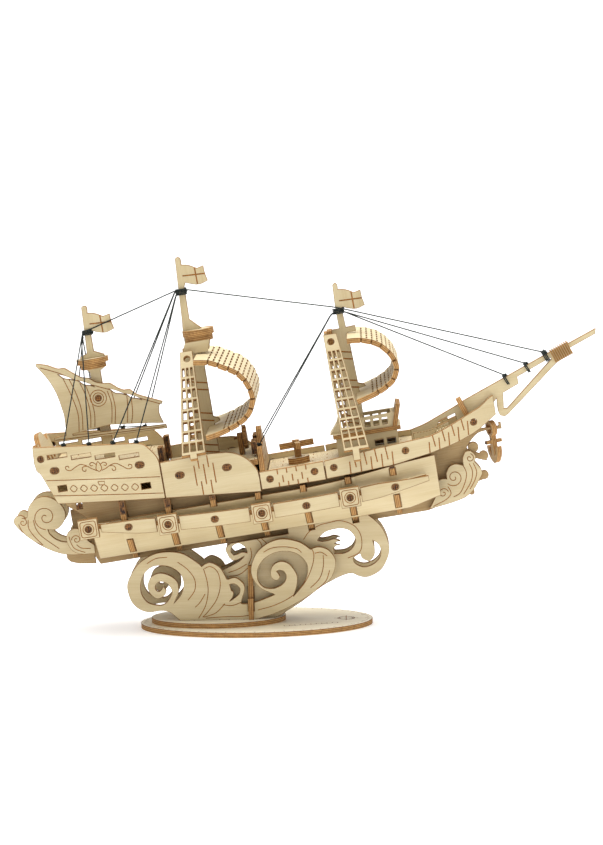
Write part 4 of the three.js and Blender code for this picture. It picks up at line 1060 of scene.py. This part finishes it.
def build_decks():
    level_deck("poop_deck", lambda x: POOP_TOP - 0.0855 * (x + 58) + PLY / 2, lambda p: True,
               planking(-86, -38.5), spread(-82, -42, 4))
    level_deck("quarter_deck", lambda x: QUARTER_TOP - PLY / 2, lambda p: p.z < 44.5, planking(-35, 8.5), [])
    gratings = [line((x, y), (x, y + 3.6)) for x in spread(85, 101, 8) for y in (-7.6, -1.8, 4)]
    level_deck("main_deck", main_deck_top, lambda p: p.z < main_deck_top(p.x) + 1.2,
               planking(13.5, 82) + gratings, spread(16, 102, 14))
    deck, rise = main_deck_top(CAPSTAN_X), 3.1
    corners = ((-5.2, -2), (-2, -5.2), (2, -5.2), (5.2, -2), (5.2, 2), (2, 5.2), (-2, 5.2), (-5.2, 2))
    octagon = [(CAPSTAN_X + a, b) for a, b in corners]
    build_plate("capstan_base", [octagon, bore(CAPSTAN_X, 0, 1.9, 16)],
                lambda u, v, w: on_ship(u, v, deck + rise - w), [circle(CAPSTAN_X, 0, 2.9, 20)], thick=rise)
    stand = [(-3.4, 42), (3.4, 42), (2.6, 52.6), (-2.6, 52.6)]
    build_plate("wheel_stand", [stand, bore(0, 50.4, 0.9, 12)],
                lambda u, v, w: on_ship(1.2 + PLY / 2 - w, u, v), [], upright=True)
    flat_plate("break_bulkhead", front=(1, 0, 0), shaded=True,
               scores=[line((-22, 39.6), (22, 39.6)), line((-22, 43), (22, 43)),
                       *[line((y, 36.6), (y, 46.4)) for y in (-18, -12, -6, 6, 12, 18)]])
    flat_plate("transom", front=(-1, 0, 0))


def build_masts():
    bands = [smooth_line([(-19.2, z + 0.8), (-14.4, z - 0.4), (-9.6, z - 1.4)])
             for z in (81, 77.5, 65.8, 62.2, 50, 46.5)]
    flag = [line((-6.6, 138), (-6.4, 128)), line((-13, 133), (-1, 132.4))]
    flat_plate("main_mast", scores=bands + flag, upright=True, width=MAST_SCORE)
    bands = [smooth_line([(54.6, z + 0.8), (58.7, z - 0.4), (62.8, z - 1.2)])
             for z in (84, 80.6, 70, 66.6, 52, 48.6)]
    flag = [line((66.4, 114), (66.6, 103.6)), line((60, 108.6), (72.4, 108.2))]
    flat_plate("fore_mast", scores=bands + flag, upright=True, width=MAST_SCORE)
    bands = [line((-65.7, z), (-60.3, z)) for z in (88, 84.6)]
    flag = [line((-56, 122.4), (-55.8, 112.4)), line((-61.6, 117.4), (-50, 116.8))]
    flat_plate("mizzen_mast", scores=bands + flag, upright=True, width=MAST_SCORE)
    mizzen = -63.4
    for name, z, size in (("mizzen_nest_upper", 100.85, 7.8), ("mizzen_nest_lower", 98.25, 6.3)):
        build_plate(name, [[tuple(p) for p in circle(mizzen, 0, size, 36)[:-1]]],
                    lambda u, v, w: on_ship(u, v, z - w), [circle(mizzen, 0, size - 1.4, 28)])
    crosstree = [(-6.5, 88.4), (6.5, 88.4), (6.5, 95.2), (-6.5, 95.2)]
    build_plate("fore_crosstree", [crosstree], lambda u, v, w: on_ship(54.1 - w, u, v), [], shaded=True)
    dressed("main_top", stacked=5.6)


def bowed_sail(node, slit_pitch=2.6, kerf=0.42, bridge=1.8):
    """A sheet bowed into a D, kerfed with staggered slits so that it bends.

    Every other row opens at the edges."""
    faces = triangles_of(node, SHIP.inverted())
    ends = [face for face in faces if face[1].y < -0.9]
    loop = outlines(ends, lambda p: (p.x, p.z))[0]
    half = max(abs(p.y) for face in faces for p in face[0])
    points = [Vector(p) for p in loop]
    top = max(range(len(points)), key=lambda i: points[i].y - 0.4 * points[i].x)
    foot = min(range(len(points)), key=lambda i: points[i].y + 0.4 * points[i].x)
    runs = []
    for step in (1, -1):
        i, run = top, [points[top]]
        while i != foot:
            i = (i + step) % len(points)
            run.append(points[i])
        runs.append(run)
    outer = max(runs, key=lambda run: max(p.x for p in run))
    outer = smooth_line(outer, pieces=4)
    reach = [0.0]
    for a, b in zip(outer, outer[1:]):
        reach.append(reach[-1] + (b - a).length)
    total = reach[-1]

    def place(s, y, w):
        s = min(max(s, 0.0), total - 1e-6)
        i = max(k for k in range(len(reach) - 1) if reach[k] <= s)
        t = (s - reach[i]) / (reach[i + 1] - reach[i])
        ahead = (outer[min(i + 2, len(outer) - 1)] - outer[max(i - 1, 0)]).normalized()
        spot = outer[i].lerp(outer[i + 1], t) + w * Vector((ahead.y, -ahead.x))
        return on_ship(spot.x, y, spot.y)

    loops = [[(0, -half), (total, -half), (total, half), (0, half)]]
    slits = []
    for row in range(int((total - 12) / slit_pitch)):
        s = 7 + row * slit_pitch
        cuts = spread(-half, half, 6) if row % 2 else spread(-half - 6.2, half + 6.2, 7)
        for a, b in zip(cuts, cuts[1:]):
            slits.append(line((s - kerf, a + bridge), (s, a + bridge - 0.4), (s + kerf, a + bridge),
                              (s + kerf, b - bridge), (s, b - bridge + 0.4), (s - kerf, b - bridge)))
    stations = spread(1, total - 1, int(total / 1.6))
    piece = build_plate(node + "_ribbon", loops, place, [], stations, slits=slits)
    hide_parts(node)


def build_sails():
    bowed_sail("main_sail")
    bowed_sail("fore_sail")
    scores = [
        smooth_line([(-89, 100.5), (-80.5, 96.5), (-72.5, 91.5), (-58.5, 85), (-50, 81), (-34, 73.5)]),
        smooth_line([(-79, 94.5), (-76, 84), (-74.5, 75), (-75.5, 66.5)]),
        smooth_line([(-76, 93), (-73.5, 84.5), (-72.5, 76), (-73.5, 67)]),
        smooth_line([(-71, 90), (-69, 82.5), (-68.5, 74.5), (-69.5, 67.5)]),
        smooth_line([(-68.5, 89), (-67, 81), (-66.5, 74), (-67.5, 67.5)]),
        smooth_line([(-58.5, 84), (-57.5, 77), (-59, 68)]),
        smooth_line([(-56.5, 83.5), (-56, 75.5), (-57.5, 67.5)]),
        smooth_line([(-49.5, 80), (-50, 74.5), (-51.5, 67)]),
        smooth_line([(-47.5, 79.5), (-48, 72), (-49.5, 66.5)]),
        line((-87.7, 64.2), (-34, 62.2)),
        circle(-63.4, 81.2, 2.6), circle(-63.4, 81.2, 4.0),
    ]
    flat_plate("lateen_sail", scores=scores)
    front = PLY + GAP + PLY / 2 + 0.25
    tab_end("lateen_peg", -63.4, 81.2, 3.0, 2.9, lambda u, v, w: on_ship(u, w - front, v), thick=2.4)


def build_ladders():
    for stem in ("main_ladder", "fore_ladder"):
        for word, side in SIDES:
            flat_plate(stem + "_" + word, front=(0, side, 0))


COLLAR_PITCH = 1.1
SCROLL_FACE = 8.2  # how far the stern scrolls' middle sheet is from the centre line


def build_bow_and_stern():
    flat_plate("bowsprit")
    slope = math.atan2(74.9 - 51, 180.6 - 112.6)
    along = Vector((math.cos(slope), 0, math.sin(slope)))
    rise = Vector((-math.sin(slope), 0, math.cos(slope)))

    def across_spar(u, v, w, x, z):
        return SHIP @ (Vector((x, u, z)) - w * along + v * rise)

    cradle = [(-6, -4.4), (6, -4.4), (6, 1), (3, 5), (-3, 5), (-6, 1)]
    build_plate("bowsprit_cradle", [cradle],
                lambda u, v, w: across_spar(u, v, w - PLY / 2, 110.9, 47.4), [])
    leaf = [(-2.4, -4.2), (2.4, -4.2), (2.4, 2.4), (-2.4, 2.4)]
    for k in range(9):
        build_plate("bowsprit_collar_%d" % (k + 1), [leaf],
                    lambda u, v, w: across_spar(u, v, w - COLLAR_PITCH * k, 158.2, 65.8), [], thick=0.72)
    bow = [
        spiral(101.2, 14.4, 0.4, 4.4, 1.5, 0.6, -1),
        smooth_line([(106.5, 19.5), (107.5, 15.5), (106, 11), (103, 6.5), (99.5, 5)]),
        smooth_line([(109.5, 20), (110.5, 16), (109, 11), (104.5, 5.5)]),
        smooth_line([(111.5, 20), (112.5, 15.5), (111, 11.5), (108, 7.5)]),
        spiral(110.2, 22.6, 0.3, 2.2, 1.2, 0.0, 1),
        spiral(94.8, 7.6, 0.3, 2.6, 1.3, 2.0, -1),
        smooth_line([(89, 2), (92, 3), (96, 4.5), (98.5, 7), (97.5, 10.5)]),
    ]
    stern = [
        spiral(-98.4, 28.4, 0.5, 6.2, 1.6, 0.8, 1),
        smooth_line([(-104.5, 28), (-104, 23.5), (-101.5, 19), (-94.5, 12)]),
        spiral(-109.8, 27.6, 0.4, 2.2, 1.2, 0.4, 1),
        smooth_line([(-112, 27), (-111, 23.5), (-108.5, 19.5), (-102.5, 15)]),
        smooth_line([(-107, 28.5), (-107.5, 24.5), (-105.5, 20), (-102, 15)]),
    ]
    small = [
        spiral(-85.2, 15.4, 0.3, 2.4, 1.4, 0.6, 1),
        smooth_line([(-88.5, 17.5), (-88, 14), (-86.5, 11), (-82, 8.5)]),
        smooth_line([(-85.5, 13), (-83.5, 11), (-79, 10)]),
    ]
    for word, side in SIDES:
        flat_plate("bow_scroll_" + word, front=(0, side, 0), scores=bow)
        node = "stern_scroll_" + word
        faces = triangles_of(node, SHIP.inverted())
        layers = (("large", SCROLL_FACE + PLY / 2, stern), ("small", SCROLL_FACE + 3 * PLY / 2, small))
        for label, y, marks in layers:
            chosen = [face for face in faces
                      if face[1].y * side > 0.9 and all(abs(p.y * side - y) < 0.05 for p in face[0])]
            loops = outlines(chosen, lambda p: (p.x, p.z))
            if label == "large":
                loops = [max(loops, key=len)]
            piece = build_plate("stern_scroll_%s_%s" % (label, word), loops,
                                lambda u, v, w: on_ship(u, side * (y - w), v), marks)
            if label == "large":
                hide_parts(node)


def build_deck_furniture():
    """Comb rails on the foredeck, and the rail posts at the break of the quarter deck."""
    for word, side in SIDES:
        teeth = [line((x - 0.45, 36.6), (x + 0.45, 36.6), (x + 0.45, 41), (x - 0.45, 41))
                 for x in spread(86.5, 101.5, 10)]
        top = [(x, main_deck_top(x) + 4.4) for x in (103, 99, 92.7, 85)]
        foot = [(x, main_deck_top(x) + 0.1) for x in (85, 92.7, 99, 103)]
        build_plate("comb_rail_" + word, [foot + top], lambda u, v, w: on_ship(u, side * (8.4 - w), v), [],
                    slits=teeth, thick=1.8)
        for k, (x, y) in enumerate(((8.2, 8.6), (8.2, 14.2), (8.2, 19.8), (-36.2, 25.5), (-36.2, 20.5))):
            foot_z, head_z = QUARTER_TOP + 0.05, 49.6 if x > 0 else 55
            post = [(foot_z, -1.3), (head_z, -1.3), (head_z, 1.3), (foot_z, 1.3)]
            build_plate("rail_post_%d_%s" % (k + 1, word), [post],
                        lambda u, v, w: on_ship(x + v, side * (y - w), u), [], thick=2.4, end_grain=True)


def build_fittings():
    flat_plate("anchor", front=(0.9, -0.4, 0), body="anchor", shaded=True, name="anchor_flukes")
    turn = Matrix.Rotation(math.radians(-66), 4, "Z")
    hang = Vector((123, 0, 34.8))
    stock = [(-1.2, -7.3), (-1.2, -5.7), (1.2, -5.7), (1.2, -7.3)]
    for label, start, end in (("near", -4.2, -1.26), ("far", 1.26, 4.2)):
        build_plate("anchor_stock_" + label, [stock],
                    lambda u, v, w: SHIP @ (hang + turn @ Vector((u, start + w, v))), [], thick=end - start,
                    body="anchor", end_grain=True)
    dressed("deckhouse")
    dressed("capstan_head", body="capstan", shaded=True)
    dressed("ships_wheel", body="wheel", shaded=True)


def build_stand():
    compass = [line((38, 0), (50, 0)), line((44, -6), (44, 6)), circle(44, 0, 3.4), circle(44, 0, 4.2)]
    ruler = [line((14, -18), (40, -12))]
    ruler += [line((14 + 2.6 * k, -18 + 0.6 * k), (14 + 2.6 * k - 0.3, -16.4 + 0.6 * k)) for k in range(11)]
    ticks = []
    for k in range(72):
        a = 2 * math.pi * k / 72
        inner = 0.955 if k % 3 else 0.935
        ticks.append(line(*((BASE_LENGTH / 2 * share * math.cos(a), BASE_WIDTH / 2 * share * math.sin(a))
                            for share in (inner, 0.975))))
    # The base and plinth tops take the paler copy of the birch, which is painted light.
    flat_plate("base_disc", STAND, (0, 0, 1), compass + ruler + ticks, face=PAINTED_LIGHT_BASE_BIRCH)
    flat_plate("plinth_disc", STAND, (0, 0, 1), face=PAINTED_LIGHT_BASE_BIRCH)
    outer = [
        smooth_line([(-52.5, 33.5), (-48, 36), (-42.5, 36.5)]),
        smooth_line([(-37.5, 34), (-33, 30.5), (-29.5, 25.5), (-29.5, 20), (-33, 15)]),
        smooth_line([(-29.5, 11.5), (-27, 14), (-24.5, 18)]),
        smooth_line([(-25, 30.5), (-23.5, 25), (-23, 19), (-24.5, 12), (-28, 6)]),
        smooth_line([(-24.5, 30.5), (-21.5, 31.5), (-18, 28.5), (-17, 22), (-19, 15), (-23.5, 9),
                     (-26, 6.5)]),
        smooth_line([(-25.5, 6.5), (-19.5, 8.5), (-15, 13)]),
        smooth_line([(-24.5, 6), (-15.5, 6.5), (-8, 6.5), (-3, 7)]),
        smooth_line([(1, 9.5), (10, 12), (18.5, 16.5), (24.5, 23), (28, 30.5), (29, 36.5), (27.5, 40)]),
        smooth_line([(4.5, 38), (8.5, 40), (14.5, 40.5), (20.5, 39.5), (23, 37.5)]),
        smooth_line([(29.5, 37), (32.5, 37.5), (35.5, 35.5)]),
        smooth_line([(33.5, 36), (33.5, 30.5), (31.5, 24.5), (27, 20)]),
        smooth_line([(36.5, 28.5), (35, 24), (32.5, 21), (30, 19.5)]),
        smooth_line([(-16, 12.5), (-11.5, 12), (-7, 13.5)]),
    ]
    inner = [
        smooth_line([(24, 43), (27, 47), (32, 50), (36, 51), (42, 52), (48, 50), (51.5, 46), (52.5, 40.5),
                     (51, 36), (45.5, 33.5)]),
        smooth_line([(-2, 39.5), (-1.5, 35.5), (-3, 31.5)]),
        smooth_line([(1, 44), (3, 42), (4, 39)]),
        smooth_line([(3.5, 44), (6, 41.5), (7, 39)]),
        smooth_line([(-13, 25.5), (-7.5, 26.5), (-3, 30)]),
        smooth_line([(-13, 27.5), (-8.5, 29), (-4, 31.5)]),
    ]
    for word, side in SIDES:
        flat_plate("wave_outer_" + word, STAND, (0, side, 0), outer)
        flat_plate("wave_inner_" + word, STAND, (0, side, 0), inner)
    flat_plate("wave_cross_plate", STAND, (1, 0, 0), shaded=True)


build_stand()
build_hull()
build_bulwarks()
build_wales()
build_decks()
build_masts()
build_sails()
build_ladders()
build_bow_and_stern()
build_fittings()
build_deck_furniture()


# ---- Floor and light -----------------------------------------------------------------------------
SWEEP = 1.2  # radius of the floor's curve, in metres
TENT_LIGHT = 0.58
TENT_GLOW = 0.5  # what the tent adds where it is seen
PAPER_GLOW = 0.3
LAMPS = {  # place, size and power
    "key": ((-0.6, -1.2, 1.4), 1.2, 3.5),
    "fill": ((1.1, -1.1, 0.8), 1.2, 1.5),
    "top": ((0.1, 0.05, 1.5), 1.3, 35),
}


def build_studio():
    """A white floor that curves up into a backdrop, and soft light from a wide tent."""
    mesh = bpy.data.meshes.new("floor_sweep")
    work = bmesh.new()
    rows = []
    curve = [(1 + SWEEP * math.sin(a), SWEEP * (1 - math.cos(a))) for a in spread(0.1, math.pi / 2, 12)]
    for y, z in [(-2.2, 0), (-1, 0), (0, 0), (1, 0), *curve, (2.2, 4)]:
        rows.append([work.verts.new((x, y, z - 0.0002)) for x in (-4, 4)])
    for a, b in zip(rows, rows[1:]):
        face = work.faces.new((a[0], a[1], b[1], b[0]))
        face.smooth = True
    work.to_mesh(mesh)
    work.free()
    floor = bpy.data.objects.new("floor_sweep", mesh)
    bpy.context.scene.collection.objects.link(floor)
    paper = bpy.data.materials.new("white paper")
    paper.use_nodes = True
    shader = paper.node_tree.nodes["Principled BSDF"]
    shader.inputs["Base Color"].default_value = (0.93, 0.93, 0.93, 1)
    shader.inputs["Roughness"].default_value = 0.9
    shader.inputs["Emission Color"].default_value = (1, 1, 1, 1)
    shader.inputs["Emission Strength"].default_value = PAPER_GLOW
    mesh.materials.append(paper)
    world = bpy.data.worlds.new("tent")
    world.use_nodes = True
    world.node_tree.nodes["Background"].inputs[0].default_value = (1, 1, 1, 1)
    # The tent is brighter to look at than the light that it gives, so that no edge of the floor shows.
    nodes = Nodes(world.node_tree)
    seen = nodes.add("ShaderNodeLightPath").outputs["Is Camera Ray"]
    strength = nodes.math("ADD", nodes.math("MULTIPLY", seen, TENT_GLOW), TENT_LIGHT)
    world.node_tree.links.new(strength, world.node_tree.nodes["Background"].inputs["Strength"])
    bpy.context.scene.world = world
    for name, (spot, size, power) in LAMPS.items():
        light = bpy.data.lights.new(name, "AREA")
        light.energy = power
        light.size = size
        lamp = bpy.data.objects.new(name, light)
        bpy.context.scene.collection.objects.link(lamp)
        lamp.location = spot
        lamp.rotation_euler = (Vector((0, 0, 0.1)) - Vector(spot)).to_track_quat("-Z", "Y").to_euler()
    bpy.context.scene.view_settings.view_transform = "Standard"


build_studio()
